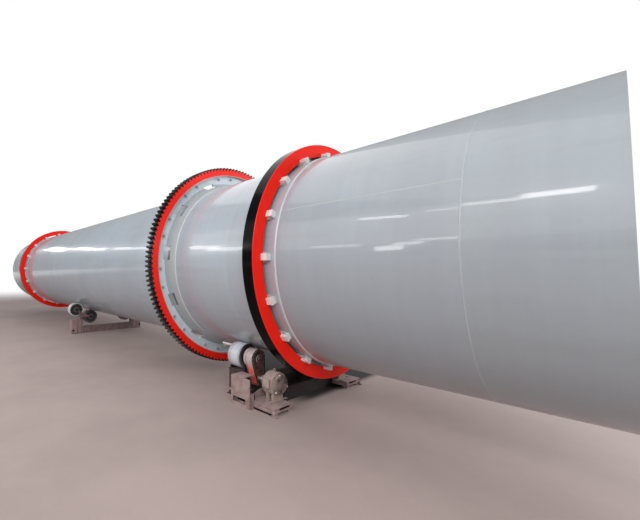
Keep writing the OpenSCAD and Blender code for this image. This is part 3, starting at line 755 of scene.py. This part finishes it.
def buildLongWelds(stations):
    bm = bmesh.new()
    for index, (low, high) in enumerate(zip(stations, stations[1:])):
        length, middle = high - low, (low + high) / 2
        base = radiusAt(middle) - 0.0005
        degrees = longWeld["angles"][index % len(longWeld["angles"])]
        steps = max(8, round(length / 0.02))
        made = bmesh.ops.create_grid(bm, x_segments=steps, y_segments=4, size=0.5)["verts"]
        for vert in made:
            crown = 1 - (vert.co.y * 2) ** 2
            ripple = 1 + 0.5 * noise.noise(Vector((vert.co.x * length * 30, index, vert.co.y * 3)))
            x = vert.co.x * (length - longWeld["inset"]) + middle
            rise = crown * longWeld["height"] * ripple
            vert.co = Vector((x, vert.co.y * longWeld["width"], base + rise))
        bmesh.ops.transform(bm, matrix=Matrix.Translation(drumCentre) @ drumTurn(degrees), verts=made)
    finishPiece("shell_long_welds", bm, "beads", "drum", 60, outward=False)


stations = seamStations()
buildRingWelds(stations)
buildLongWelds(stations)
print("drum seams welded:", len(stations) - 2, "rings")


# Tyre stop blocks: fillets where each is welded to its pad

blockWeld = {"count": 18, "length": 0.075, "radius": 0.005, "spread": 0.034, "pitch": 0.025, "padTop": 0.022}


def buildBlockWelds():
    bm = bmesh.new()
    for tyreName in ("near_tyre", "far_tyre"):
        for face, side in zip(endsOf(tyreName), (-1, 1)):
            for index in range(blockWeld["count"]):
                degrees = 360 * index / blockWeld["count"]
                foot = onDrum(face + side * 0.004, drum["thick"] + blockWeld["padTop"], degrees)
                far = foot + along * side * blockWeld["length"]
                for edge in (-1, 1):
                    shift = spokeAt(degrees + 90) * edge * blockWeld["spread"]
                    addRodWeld(bm, foot + shift, far + shift, blockWeld["radius"], blockWeld["pitch"])
    finishPiece("tyre_block_welds", bm, "beads", "drum", 60)


# Girth gear: washers and stud ends of the bolt pairs on the web

gearBolt = {"circle": 1.4225, "pairs": 12, "first": 20.5, "half": 5.4, "washer": (0.0264, 0.005),
            "stud": (0.009, 0.012)}


def buildGearBolts():
    washers, studs = blanks(2)
    radius, thick = gearBolt["washer"]
    studRadius, studLength = gearBolt["stud"]
    for index in range(gearBolt["pairs"]):
        for side in (-1, 1):
            degrees = 180 - gearBolt["first"] - side * gearBolt["half"] - index * 360 / gearBolt["pairs"]
            for way, web, head in zip((-1, 1), endsOf("gear_web"), endsOf("web_bolts")):
                seat = onDrum(web + way * thick / 2, gearBolt["circle"], degrees)
                addRound(washers, seat, along, radius, thick, 0.0008, 20)
                tip = onDrum(head + way * studLength / 2, gearBolt["circle"], degrees)
                addRound(studs, tip, along * way, studRadius, studLength, 0.0015, 12)
    finishPiece("gear_washers", washers, "web", "drum")
    finishPiece("gear_stud_ends", studs, "webBolts", "drum")


buildBlockWelds()
buildGearBolts()
print("tyre and gear details done")


# Roller hubs: end caps that turn with each roller

hubCap = {"bolts": 6, "near": 0.034, "far": 0.032, "thickness": 0.008, "boltSize": 0.006, "boltCircle": 0.66,
          "plug": (0.008, 0.006)}


def buildHubCaps():
    thick = hubCap["thickness"]
    plugRadius, plugLength = hubCap["plug"]
    for tread in nodesWith("_tread"):
        near = tread.startswith("near")
        middle = centreOf(tread)
        radius = hubCap["near" if near else "far"]
        bm = bmesh.new()
        for x, way in zip(endsOf(tread.replace("_tread", "_wheel")), (-1, 1)):
            if near and way > 0:
                continue  # this end is inside the gear case
            seat = Vector((x, middle.y, middle.z))
            outward = along * way
            addRound(bm, seat + outward * thick / 2, outward, radius, thick, 0.002, 28)
            addBoltRing(bm, seat + outward * thick, radius * hubCap["boltCircle"], hubCap["bolts"], way,
                        hubCap["boltSize"], False, 0.0, 0.5)
            addRound(bm, seat + outward * (thick + plugLength / 2), outward, plugRadius, plugLength, 0.001, 6)
        name = tread.replace("_tread", "_hub_cap")
        finishPiece(name, bm, "fittings" if near else "wheels", tread.replace("_tread", "_roller"))


buildHubCaps()
print("roller hubs capped")


# Stands: each piece is made for the +Y side and mirrored to the other

nearRoller = centreOf("near_back_tread")


def onStands(name, bm, finish, sharp=40):
    copied = bmesh.ops.duplicate(bm, geom=bm.verts[:] + bm.edges[:] + bm.faces[:])["geom"]
    bmesh.ops.scale(bm, vec=(1, -1, 1), verts=pick(copied, bmesh.types.BMVert))
    finishPiece(name, bm, finish, "stands", sharp)


# Near stand: bearing rings on the cheeks, pedestal plates and bolts, and the rod above the far cheek

nearStand = {
    "ring": 0.058, "ringBore": 0.038, "ringThick": 0.01, "cheekBolts": 6, "cheekBoltSize": 0.007,
    "inner": 0.58, "over": 0.012, "cap": 0.014, "capEnd": 5.16,
    "ribs": (0.6, 0.69, 0.78), "ribSize": (0.022, 0.012), "foot": (0.05, 0.012), "bolts": (0.645, 0.735),
    "anchorSize": 0.014, "faceBolt": (0.29, 0.011),
    "beamFoot": (0.02, 0.572, 0.01), "beamRibs": (0.12, 0.34, 0.55), "beamRibHalf": 0.005,
    "rodStart": 4.64, "rodRadius": 0.015, "rodHeight": 0.632, "rodPlate": (0.012, 0.07, 0.11),
    "rodDrop": 0.024,
}


def addFaceRing(bm, hub, radii, thick, sink, steps):
    # A bearing ring with one chamfer on the face of a plate; the sign of thick gives its side
    reach, bore = radii
    profile = [(-sink, bore), (-sink, reach), (thick * 0.7, reach), (thick, reach - 0.003), (thick, bore)]
    addSpun(bm, profile, hub, along, steps)


def buildCheekTrim():
    rings, bolts = blanks(2)
    reach, bore, thick = nearStand["ring"], nearStand["ringBore"], nearStand["ringThick"]
    hub = Vector((endsOf("roller_cheeks")[0], nearRoller.y, nearRoller.z))
    addFaceRing(rings, hub, (reach, bore), -thick, -0.0005, 40)
    addBoltRing(bolts, hub - along * thick, reach * 0.84, nearStand["cheekBolts"], -1,
                nearStand["cheekBoltSize"])
    onStands("cheek_bearing_rings", rings, "fittings")
    onStands("cheek_bolts", bolts, "bolts")


def buildPedestalTrim():
    plates, bolts = blanks(2)
    low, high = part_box("near_pedestals")
    inner, outer, over = nearStand["inner"], high.y, nearStand["over"]
    under = high.z - nearStand["cap"]
    deep, half = nearStand["ribSize"][0], nearStand["ribSize"][1] / 2
    footReach, footThick = nearStand["foot"]
    addSpan(plates, (low.x - over, inner, under), (low.x + 0.004, outer + over / 2, high.z))
    addSpan(plates, (low.x, outer - 0.004, under), (nearStand["capEnd"], outer + over / 2, high.z))
    for y in nearStand["ribs"]:
        addSpan(plates, (low.x - deep, y - half, footThick), (low.x + 0.003, y + half, under))
    addSpan(plates, (low.x - footReach, inner, 0.0), (low.x + 0.004, outer, footThick))
    height, size = nearStand["faceBolt"]
    for y in nearStand["bolts"]:
        addBolt(bolts, (low.x - 0.027, y, footThick), upward, nearStand["anchorSize"], True, 0.6)
        addBolt(bolts, (low.x - 0.002, y, height), -along, size)
    low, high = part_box("near_cross_beam")
    start, end, thick = nearStand["beamFoot"]
    half = nearStand["beamRibHalf"]
    addSpan(plates, (low.x - 0.02, start, 0.0), (high.x + 0.005, end, thick))
    for y in nearStand["beamRibs"]:
        for left, right in ((low.x - 0.014, low.x + 0.002), (high.x - 0.002, high.x + 0.005)):
            addSpan(plates, (left, y - half, thick - 0.001), (right, y + half, high.z - 0.006))
    onStands("pedestal_plates", plates, "dark")
    onStands("pedestal_bolts", bolts, "bolts")


def buildRod():
    bm = bmesh.new()
    start, radius = endsOf("roller_cheeks")[0], nearStand["rodRadius"]
    thick, wide, tall = nearStand["rodPlate"]
    length = start - nearStand["rodStart"]
    place = Vector((start, nearRoller.y, nearStand["rodHeight"]))
    addBlock(bm, place + Vector((-thick / 2, 0, nearStand["rodDrop"] - tall / 2)), (thick, wide, tall), 0.003)
    addRound(bm, place - along * length / 2, along, radius, length, 0.003, 24)
    addRound(bm, place - along * (thick + 0.008), along, radius * 1.5, 0.014, 0.001, 6)
    onStands("grease_rods", bm, "rod")


buildCheekTrim()
buildPedestalTrim()
buildRod()
print("near stand trimmed")


# End boxes: weld beads, top plate, the small side lug and a near black plate at the back of the fork pocket
# as painted shade

endBox = {"bead": 0.004, "pitch": 0.011, "step": 5.371, "lug": (5.122, 5.168, 0.156, 0.178),
          "back": (0.014, 0.888, 0.891, 0.158), "lid": (0.83, 0.343, 5.376, 0.351)}


def buildEndBoxTrim():
    beads, plates, dark = blanks(3)
    low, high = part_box("near_end_boxes")
    face, step = high.y - 0.012, endBox["step"]
    for start, end in (
        ((low.x, face, 0.006), (low.x, face, 0.164)), ((high.x, face, 0.006), (high.x, face, 0.164)),
        ((low.x + 0.005, face, 0.338), (step - 0.006, face, 0.338)),
        ((step - 0.009, face, 0.172), (high.x - 0.006, face, 0.172)),
        ((step, face, 0.176), (step, 0.82, 0.176)),
    ):
        addRodWeld(beads, start, end, endBox["bead"], endBox["pitch"])
    inset, front, behind, top = endBox["back"]
    addSpan(dark, (low.x + inset, front, inset), (high.x - inset, behind, top), 0.0)
    start, end, bottom, top = endBox["lug"]
    addSpan(plates, (start, face, bottom), (end, high.y - 0.001, top), 0.003)
    inner, bottom, end, top = endBox["lid"]
    addSpan(plates, (low.x - 0.004, inner, bottom), (end, high.y - 0.014, top))
    onStands("end_box_welds", beads, "stands", sharp=60)
    onStands("end_box_plates", plates, "stands")
    onStands("end_box_backs", dark, "holes")


buildEndBoxTrim()
print("end boxes trimmed")


# Gear cases: flange rims, cover plates, plugs and bolts

gearCase = {"headRadius": 0.116, "footRadius": 0.066, "footY": 0.64, "footZ": 0.232, "armStart": 5.225,
            "rim": 0.006, "rimThick": 0.009, "cover": 0.004, "coverInset": 0.014,
            "headBolts": (9, 200), "footBolts": (4, 150),
            "boltSize": 0.0085, "boltInset": 0.007, "hub": 0.046, "hubNut": 0.018, "plug": 0.011}


def buildGearCases():
    rims, covers, bolts = blanks(3)
    start, end = endsOf("gear_cases")
    big, small, thick = gearCase["headRadius"], gearCase["footRadius"], gearCase["rimThick"]
    head = Vector((0, nearRoller.y, nearRoller.z))
    foot = Vector((0, gearCase["footY"], gearCase["footZ"]))
    addRing(rims, head + along * (start + 0.006), along, big - 0.002, 0.005, 64)
    for bm, x, grow, depth, edge in ((rims, end - thick, gearCase["rim"], thick, 0.0015),
                                     (rims, gearCase["armStart"] + 0.004, gearCase["rim"], thick, 0.0015),
                                     (covers, end, -gearCase["coverInset"], gearCase["cover"], 0.0012)):
        addLink(bm, head + along * x, big + grow, foot + along * x, small + grow, along, depth, edge, 64)
    addRound(covers, head + along * (end + 0.009), along, gearCase["hub"], 0.012, 0.003, 32)
    addRound(covers, head + along * (end + 0.018), along, gearCase["hubNut"], 0.008, 0.002, 6)
    back = math.degrees(math.atan2(head.z - foot.z, head.y - foot.y))
    for centre, radius, (count, sweep), first in ((head, big, gearCase["headBolts"], back),
                                                  (foot, small, gearCase["footBolts"], back + 180)):
        for index in range(count):
            spoke = spokeAt(first + (index / (count - 1) - 0.5) * sweep)
            seat = centre + along * end + spoke * (radius - gearCase["boltInset"])
            addBolt(bolts, seat, along, gearCase["boltSize"], True, 0.3)
    plug = gearCase["plug"]
    addRound(bolts, head + Vector((end - 0.07, -0.03, big + 0.002)), upward, plug, 0.018, 0.002, 6)
    addRound(bolts, foot + Vector((end - 0.06, 0, -small - 0.002)), -upward, plug, 0.014, 0.002, 6)
    onStands("case_rims", rims, "case")
    onStands("case_covers", covers, "case")
    onStands("case_bolts", bolts, "bolts")


# Couplings between the cases and the motors

coupling = {"start": 5.438, "end": 5.488, "radius": 0.056, "boltCircle": 0.74, "bolts": 6, "boltSize": 0.0065}


def buildCouplingBolts():
    bm = bmesh.new()
    circle, size = coupling["radius"] * coupling["boltCircle"], coupling["boltSize"]
    for side in (-1, 1):
        centre = Vector((0, side * nearRoller.y, motorTrim["height"]))
        for x, way in ((coupling["start"], -1), (coupling["end"], 1)):
            addBoltRing(bm, centre + along * x, circle, coupling["bolts"], way, size, shift=0.25)
        middle = centre + along * (coupling["start"] + coupling["end"]) / 2
        addRing(bm, middle, along, coupling["radius"] - 0.0015, 0.004, 48)
    finishPiece("coupling_bolts", bm, "fittings", "stands", 40)


# Motors: fins, end bells, fan cover, terminal box, lifting eye and feet

motorTrim = {
    "radius": 0.13, "height": 0.29, "bodyLength": 0.15, "coverRadius": 0.11, "finStep": 9, "finHeight": 0.009,
    "finWidth": 0.005, "boxAngle": 10, "boxHalf": 24, "feetAngles": (232, 308), "bell": 0.016,
    "bellOver": 0.008, "bellBolt": 0.0085, "cover": 0.012,
    "vents": (131, 11, 251), "ventReach": 0.078, "ventSize": 0.026,
    "knobs": (221, 101, 341), "knob": 0.009, "lid": (5.571, 5.679, 0.262, 0.366), "lidFace": 0.8462,
    "lidBolt": 0.005, "gland": 0.828, "eyeRadius": 0.017, "eyeBar": 0.005,
    "footPlate": (0.026, 0.585, 0.795, 0.0905, 0.01), "footBolts": (0.597, 0.783),
}


def buildMotorFins(start, end, axis):
    fins, tall = bmesh.new(), motorTrim["finHeight"]
    size = (end - start - 0.03, motorTrim["finWidth"], tall)
    for index in range(360 // motorTrim["finStep"]):
        degrees = (index + 0.5) * motorTrim["finStep"]
        fromBox = abs(degrees - motorTrim["boxAngle"])
        feetStart, feetEnd = motorTrim["feetAngles"]
        if min(fromBox, 360 - fromBox) < motorTrim["boxHalf"] or feetStart < degrees < feetEnd:
            continue
        place = axis + along * (start + end) / 2 + spokeAt(degrees) * (motorTrim["radius"] + tall / 2 - 0.002)
        addBlock(fins, place, size, 0.001, drumTurn(degrees), 1)
    onStands("motor_fins", fins, "motors")


def buildMotorTrim():
    shells, dark, bolts, knobs = blanks(4)
    start, tail = endsOf("motors")
    end = start + motorTrim["bodyLength"]
    radius, cover = motorTrim["radius"], motorTrim["coverRadius"]
    axis = Vector((0, nearRoller.y, motorTrim["height"]))
    buildMotorFins(start, end, axis)
    bell, lip = motorTrim["bell"], radius + motorTrim["bellOver"]
    for x, way in ((start, 1), (end, -1)):
        addSpun(shells, [(0, radius - 0.02), (0, radius + motorTrim["bellOver"] * 0.4), (way * 0.003, lip),
                         (way * bell * 0.7, lip), (way * bell, radius - 0.001), (way * bell, radius - 0.02)],
                axis + along * x, along, 56)
        seat = axis + along * (x - way * 0.001)
        addBoltRing(bolts, seat, radius - 0.006, 4, -way, motorTrim["bellBolt"], True, 0.0, 0.5)
    depth = motorTrim["cover"]
    addSpun(shells, [(-0.02, cover + 0.0015), (0.001, cover + 0.0015), (0.006, cover - 0.002),
                     (0.01, cover - 0.014), (depth, cover * 0.55), (depth + 0.002, 0.0), (-0.02, 0.0)],
            axis + along * tail, along, 56)
    # The vents are near black triangles, painted shade in the openings
    for degrees in motorTrim["vents"]:
        shift = spokeAt(180 - degrees) * motorTrim["ventReach"] + along * (tail + 0.0085)
        for side in (-1, 1):  # the three corners point the same way on both sides
            spot = Vector((shift.x, side * (axis.y + shift.y), axis.z + shift.z))
            addRound(dark, spot, along, motorTrim["ventSize"], 0.008, 0.001, 3)
        addRing(shells, axis + shift + along * 0.003, along, motorTrim["ventSize"] * 0.72, 0.0025, 3, 6)
    for degrees in motorTrim["knobs"]:
        spot = axis + along * (tail - 0.004) + spokeAt(180 - degrees) * (cover + 0.006)
        addRound(knobs, spot, along, motorTrim["knob"], 0.016, 0.003, 12)
        addRound(knobs, spot + along * 0.01, along, 0.006, 0.006, 0.001, 6)
    low, high, bottom, top = motorTrim["lid"]
    face = motorTrim["lidFace"]
    addSpan(shells, (low, face - 0.001, bottom), (high, face + 0.004, top), 0.0015)
    for x in (low + 0.009, high - 0.009):
        for z in (bottom + 0.009, top - 0.009):
            addBolt(bolts, (x, face + 0.004, z), across, motorTrim["lidBolt"], False, 0.0)
    gland = Vector(((low + high) / 2, motorTrim["gland"], bottom))
    addRound(shells, gland - upward * 0.004, upward, 0.014, 0.012, 0.001, 6)
    addRound(shells, gland - upward * 0.014, upward, 0.01, 0.014, 0.002, 20)
    eye = axis + along * (start + end) / 2 + upward * (radius + motorTrim["eyeRadius"] + 0.006)
    addRing(shells, eye, across, motorTrim["eyeRadius"], motorTrim["eyeBar"], 28)
    addRound(shells, eye - upward * (motorTrim["eyeRadius"] + 0.003), upward, 0.012, 0.01, 0.002, 20)
    half, inner, outer, seat, thick = motorTrim["footPlate"]
    for x in (start + 0.032, end - 0.032):
        addSpan(shells, (x - half, inner, seat), (x + half, outer, seat + thick), 0.003)
        for y in motorTrim["footBolts"]:
            addBolt(bolts, (x, y, seat + thick), upward, motorTrim["bellBolt"], True, 0.7)
    onStands("motor_shells", shells, "motors")
    finishPiece("motor_vents", dark, "holes", "stands", 40)
    onStands("motor_bolts", bolts, "fittings")
    onStands("motor_knobs", knobs, "rod")


# Motor benches: overhanging top plates, open slots under them shown as near black strips of painted shade,
# levelling feet and clips

bench = {
    "inner": 0.605, "top": 0.0902, "over": 0.012, "plate": 0.01, "rail": (0.03, 0.052), "slotDepth": 0.0012,
    "shim": (0.06, 0.05, 0.012), "stub": (0.03, 0.03, 0.032), "clip": (0.018, 0.02, 0.012),
    "clipsX": (5.562, 5.688), "clipsY": (0.56, 0.83), "backBolts": (0.64, 0.74, 0.84), "boltSize": 0.008,
}


def buildBenchTrim():
    plates, dark, bolts = blanks(3)
    low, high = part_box("motor_benches")
    front, inner, over, top, size = high.y, bench["inner"], bench["over"], bench["top"], bench["boltSize"]
    under, slot = top - bench["plate"], bench["slotDepth"]
    railLow, railHigh = bench["rail"]
    for start, end in (((low.x + 0.012, front - 0.006, under), (high.x + over, front + over, top)),
                       ((high.x - 0.006, inner - over, under), (high.x + over, front, top)),
                       ((low.x + 0.03, front - 0.004, railLow), (high.x + 0.004, front + 0.005, railHigh)),
                       ((high.x - 0.004, inner, railLow), (high.x + 0.005, front, railHigh))):
        addSpan(plates, start, end)
    addSpan(dark, (low.x + 0.05, front - 0.004, 0.001), (high.x - 0.02, front + slot, 0.022), 0.0)
    addSpan(dark, (high.x - 0.004, 0.66, 0.055), (high.x + slot, 0.83, 0.074), 0.0)
    corner = Vector((high.x + 0.012, front + 0.008, bench["shim"][2] / 2))
    addBlock(plates, corner, bench["shim"], 0.003)
    addBlock(plates, corner + Vector((-0.01, 0, 0.022)), bench["stub"], 0.003)
    for x in (low.x + 0.06, high.x - 0.03):
        addSpan(plates, (x - 0.02, front - 0.004, 0.0), (x + 0.02, front + 0.022, 0.009))
        addBolt(bolts, (x, front + 0.012, 0.009), upward, size, True, 0.5)
    for y in bench["backBolts"]:
        addBolt(bolts, (low.x + 0.01, y, 0.115), along, size)
    halfX, halfY, tall = bench["clip"]
    for x in bench["clipsX"]:
        for y in bench["clipsY"]:
            addSpan(plates, (x - halfX, y - halfY, top), (x + halfX, y + halfY, top + tall))
    onStands("bench_plates", plates, "stands")
    onStands("bench_slots", dark, "holes")
    onStands("bench_bolts", bolts, "bolts")


buildGearCases()
buildCouplingBolts()
buildMotorTrim()
buildBenchTrim()
print("gear cases, motors and benches detailed")


# Far stand: bearing rings and bolts on the bogie plates, pivot keepers, pedestal holes as near black discs of
# painted shade, and foot plates

farStand = {
    "ring": 0.056, "ringBore": 0.034, "ringThick": 0.009, "bolts": 6, "boltCircle": 0.046, "boltSize": 0.007,
    "pivotRadius": 0.026, "keeper": (0.01, 0.09, 0.03), "keeperBolts": (-0.032, 0.032),
    "keeperBoltSize": 0.008,
    "hole": (0.945, 0.086), "holeRadius": 0.024, "foot": (0.045, 0.71, 0.012), "anchor": 0.014,
    "anchors": (0.745, 0.88), "ribs": (0.74, 0.84), "rib": (0.012, 0.005, 0.34), "beamRibs": (0.1, 0.3, 0.5),
    "beamRib": (0.016, 0.006, 0.15), "seam": 0.699,
}


def addFaceSpan(bm, face, reach, start, end):
    # A plate that stands out from a face by reach, between two (y, z) corners
    addSpan(bm, (min(face, face + reach), *start), (max(face, face + reach), *end))


def buildFarStand():
    rings, bolts, plates, dark = blanks(4)
    reach, bore = farStand["ring"], farStand["ringBore"]
    pivot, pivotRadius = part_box("bogie_pivots")[1], farStand["pivotRadius"]
    for x, pivotX, way in zip(endsOf("bogie_plates"), endsOf("bogie_pivots"), (-1, 1)):
        thick = way * farStand["ringThick"]
        for tread in ("far_back_outer_tread", "far_back_inner_tread"):
            hub = centreOf(tread)
            hub.x = x
            addFaceRing(rings, hub, (reach, bore), thick, way * 0.001, 36)
            addBoltRing(bolts, hub + along * thick, farStand["boltCircle"], farStand["bolts"], way,
                        farStand["boltSize"], False, 0.4, 0.5)
        keeper = Vector((pivotX + way * 0.005, pivot.y - pivotRadius, pivot.z - pivotRadius))
        addBlock(plates, keeper, farStand["keeper"])
        for shift in farStand["keeperBolts"]:
            seat = keeper + Vector((way * 0.005, shift, 0))
            addBolt(bolts, seat, along * way, farStand["keeperBoltSize"], True, 0.3)
    low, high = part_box("far_pedestals")
    footReach, footStart, footThick = farStand["foot"]
    deep, half, tall = farStand["rib"]
    for face, way in ((low.x, -1), (high.x, 1)):
        hole = Vector((face, *farStand["hole"]))
        addRound(dark, hole, along, farStand["holeRadius"], 0.003, 0.0, 32)
        addRing(plates, hole + along * way * 0.001, along, farStand["holeRadius"] + 0.003, 0.0035, 36)
        addFaceSpan(plates, face, way * footReach, (footStart, 0.0), (high.y - 0.008, footThick))
        for y in farStand["anchors"]:
            addBolt(bolts, (face + way * 0.026, y, footThick), upward, farStand["anchor"], True, 0.6)
        for y in farStand["ribs"]:
            addFaceSpan(plates, face, way * deep, (y - half, footThick), (y + half, tall))
    low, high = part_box("far_cross_beam")
    deep, half, tall = farStand["beamRib"]
    for face, way in ((low.x, -1), (high.x, 1)):
        for y in farStand["beamRibs"]:
            addFaceSpan(plates, face, way * deep, (y - half, 0.0), (y + half, tall))
        addRodWeld(plates, (face, farStand["seam"], 0.01), (face, farStand["seam"], 0.16))
    onStands("bogie_bearing_rings", rings, "wheels")
    onStands("far_stand_bolts", bolts, "bolts")
    onStands("far_stand_plates", plates, "far")
    onStands("far_stand_holes", dark, "holes")


buildFarStand()
print("far stand detailed")


# Camera: its place is given in tyre radii from the near tyre's middle

view = {
    "offset": (1.7223306, -2.6647834, -0.1192659), "shift": 0.08, "yaw": -0.851466, "pitch": 0.0519188,
    "roll": 0.00300387, "focal": 348.842, "centre": (235.268, 255.773), "image": (640, 520), "sensor": 36,
}


def aimCamera():
    data = bpy.data.cameras.new("shopCamera")
    camera = bpy.data.objects.new("shopCamera", data)
    bpy.context.scene.collection.objects.link(camera)
    yaw, pitch, roll = view["yaw"], view["pitch"], view["roll"]
    forward = Vector((math.sin(yaw) * math.cos(pitch), math.cos(yaw) * math.cos(pitch), math.sin(pitch)))
    level = Vector((math.cos(yaw), -math.sin(yaw), 0))
    over = level.cross(forward)
    right = math.cos(roll) * level + math.sin(roll) * over
    top = math.cos(roll) * over - math.sin(roll) * level
    start = Vector((centreOf("near_tyre").x + view["shift"], 0, drum["axis"]))
    place = start + Vector(view["offset"]) * drum["tyre"]
    camera.matrix_world = Matrix.Translation(place) @ Matrix((right, top, -forward)).transposed().to_4x4()
    width, height = view["image"]
    data.sensor_fit = "HORIZONTAL"
    data.sensor_width = view["sensor"]
    data.lens = view["sensor"] * view["focal"] / width
    data.shift_x = (width / 2 - view["centre"][0]) / width
    data.shift_y = (view["centre"][1] - height / 2) / width
    data.clip_end = 300
    bpy.context.scene.camera = camera


# Floor, light and background

# Each softbox is place, aim, size and power. Panes are narrow softboxes whose reflections make the broken
# bright line along the shell, and they end with a brightness instead.
softboxes = {
    "overhead": ((1.0, 0.5, 9.0), (0.5, 0.0, 0.0), (26.0, 8.0), 640),
    "key": ((-1.0, -13.0, 7.5), (0.5, 0.0, 1.4), (30.0, 7.0), 680),
    "endFill": ((16.0, -10.5, 8.0), (4.5, -0.5, 2.0), (9.0, 5.0), 950),
    "backFill": ((0.0, 11.0, 6.0), (0.0, 0.0, 1.5), (20.0, 5.0), 150),
    "rearFill": ((9.6, 6.5, 3.6), (7.8, 0.6, 0.0), (6.0, 3.0), 330),
}
panes = [
    ((1.85, -13.0, 3.2), (7.2, -1.3, 1.9), (1.1, 0.8), 13.0),
    ((2.6, -13.0, 3.85), (7.4, -1.3, 1.9), (1.1, 0.5), 9.0),
    ((3.6, -13.0, 4.35), (7.6, -1.3, 1.9), (1.5, 0.35), 7.0),
    ((-0.8, -13.0, 4.15), (6.9, -1.3, 1.9), (2.3, 0.5), 5.0),
    ((0.5, -13.0, 10.0), (7.3, -1.2, 2.1), (2.3, 0.5), 12.0),
    ((3.1, -13.0, 10.2), (7.7, -1.2, 2.1), (1.2, 0.3), 7.0),
    ((4.8, -13.0, 10.6), (8.0, -1.2, 2.1), (1.9, 0.5), 9.0),
    ((6.8, -13.0, 10.8), (8.3, -1.2, 2.1), (2.0, 0.9), 17.0),
    ((-8.6, -13.0, 5.4), (5.5, -1.3, 1.9), (3.4, 1.0), 6.5),
    ((-13.6, -13.0, 6.9), (4.8, -1.3, 1.9), (4.2, 1.2), 6.5),
    ((-30.0, -4.6, 8.6), (-2.0, -1.2, 2.1), (3.0, 1.4), 4.5),
    ((-30.0, -8.6, 9.6), (0.0, -1.2, 2.1), (4.2, 1.2), 4.5),
    ((-30.0, -15.0, 10.6), (2.6, -1.2, 2.1), (6.5, 1.2), 4.5),
]
studio = {
    "floorSize": 70, "floorColour": (0.47, 0.374, 0.35), "darker": 0.86, "grainColour": (0.3, 0.26, 0.24),
    "fade": (13.0, 30.0), "ambient": 0.38, "ambientColour": (0.96, 0.98, 1.0),
    # A painted shadow on the floor inside the near stand: its colour, start, end and blur
    "paintedShadowColour": (0.028, 0.023, 0.021), "paintedShadowStart": (4.1, -0.5), "paintedShadowEnd": (5.84, 2.5),
    "paintedShadowBlur": (0.5, 0.16, 1.1),
}


def showWhite(soft, white, straight, output):
    # What straight rays see is white, and the rest is the soft shader
    blended = addNode("MixShader", {0: straight, 1: soft.outputs[0], 2: white.outputs[0]})
    feed(output.inputs["Surface"], blended.outputs[0])


def buildFloor():
    bm = bmesh.new()
    bmesh.ops.create_circle(bm, cap_ends=True, segments=96, radius=studio["floorSize"])
    floor = addObject("floor", bm)
    floor.data.materials.append(newMaterial("floorPaint"))
    where = objectPlace()
    dark = tuple(channel * studio["darker"] for channel in studio["floorColour"])
    base = blend(remap(noiseAt(where, 0.5, 5, 0.6), 0.35, 0.7), studio["floorColour"], dark)
    base = blend(times(noiseAt(where, 30.0, 4, 0.6), 0.12), base, studio["grainColour"])
    # Inside the near stand the ground is darkened to match the nearly black area of the photo
    # This dark patch is a painted shadow on the floor
    spot = splitUp(where)
    left, front = studio["paintedShadowStart"]
    right, back = studio["paintedShadowEnd"]
    blur, edge, fadeOut = studio["paintedShadowBlur"]
    slanted = plus(spot["X"], spot["Y"])
    lengthwise = times(remap(slanted, left, left + blur), below(spot["X"], right - edge, right))
    crosswise = times(remap(spot["Y"], front, front + blur), below(spot["Y"], back - fadeOut, back))
    base = blend(times(lengthwise, crosswise), base, studio["paintedShadowColour"])
    for label, value in {"Base Color": base, "Roughness": 0.7, "Specular IOR Level": 0.3}.items():
        feed(graph["shader"].inputs[label], value)
    reach = addNode("VectorMath", {0: where}, operation="LENGTH").outputs["Value"]
    seen = addNode("LightPath").outputs
    straight = calc("MAXIMUM", seen["Is Camera Ray"], seen["Is Glossy Ray"])
    fade = times(remap(reach, *studio["fade"]), straight)
    showWhite(graph["shader"], addNode("Emission"), fade, graph["output"])


def addSoftbox(name, place, aim, size, power):
    data = bpy.data.lights.new(name, "AREA")
    data.shape = "RECTANGLE"
    data.size, data.size_y = size
    data.energy = power
    light = bpy.data.objects.new(name, data)
    bpy.context.scene.collection.objects.link(light)
    turn = (Vector(aim) - Vector(place)).to_track_quat("-Z", "Y")
    light.matrix_world = Matrix.Translation(place) @ turn.to_matrix().to_4x4()
    light.visible_camera = False


def lightStudio():
    for name, spec in softboxes.items():
        addSoftbox(name, *spec)
    for index, (place, aim, size, brightness) in enumerate(panes):
        addSoftbox("pane" + str(index), place, aim, size, brightness * math.pi * size[0] * size[1])
    world = bpy.data.worlds.new("studio")
    world.use_nodes = True
    openTree(world.node_tree)
    seen = addNode("LightPath").outputs
    soft = addNode("Background", {"Color": studio["ambientColour"], "Strength": studio["ambient"]})
    white = addNode("Background", {"Color": (1.0, 1.0, 1.0), "Strength": 1.0})
    straight = calc("MAXIMUM", seen["Is Camera Ray"], seen["Is Transmission Ray"])
    showWhite(soft, white, straight, addNode("OutputWorld"))
    bpy.context.scene.world = world
    bpy.context.scene.view_settings.view_transform = "Standard"


aimCamera()
buildFloor()
lightStudio()
print("camera, floor and light set")
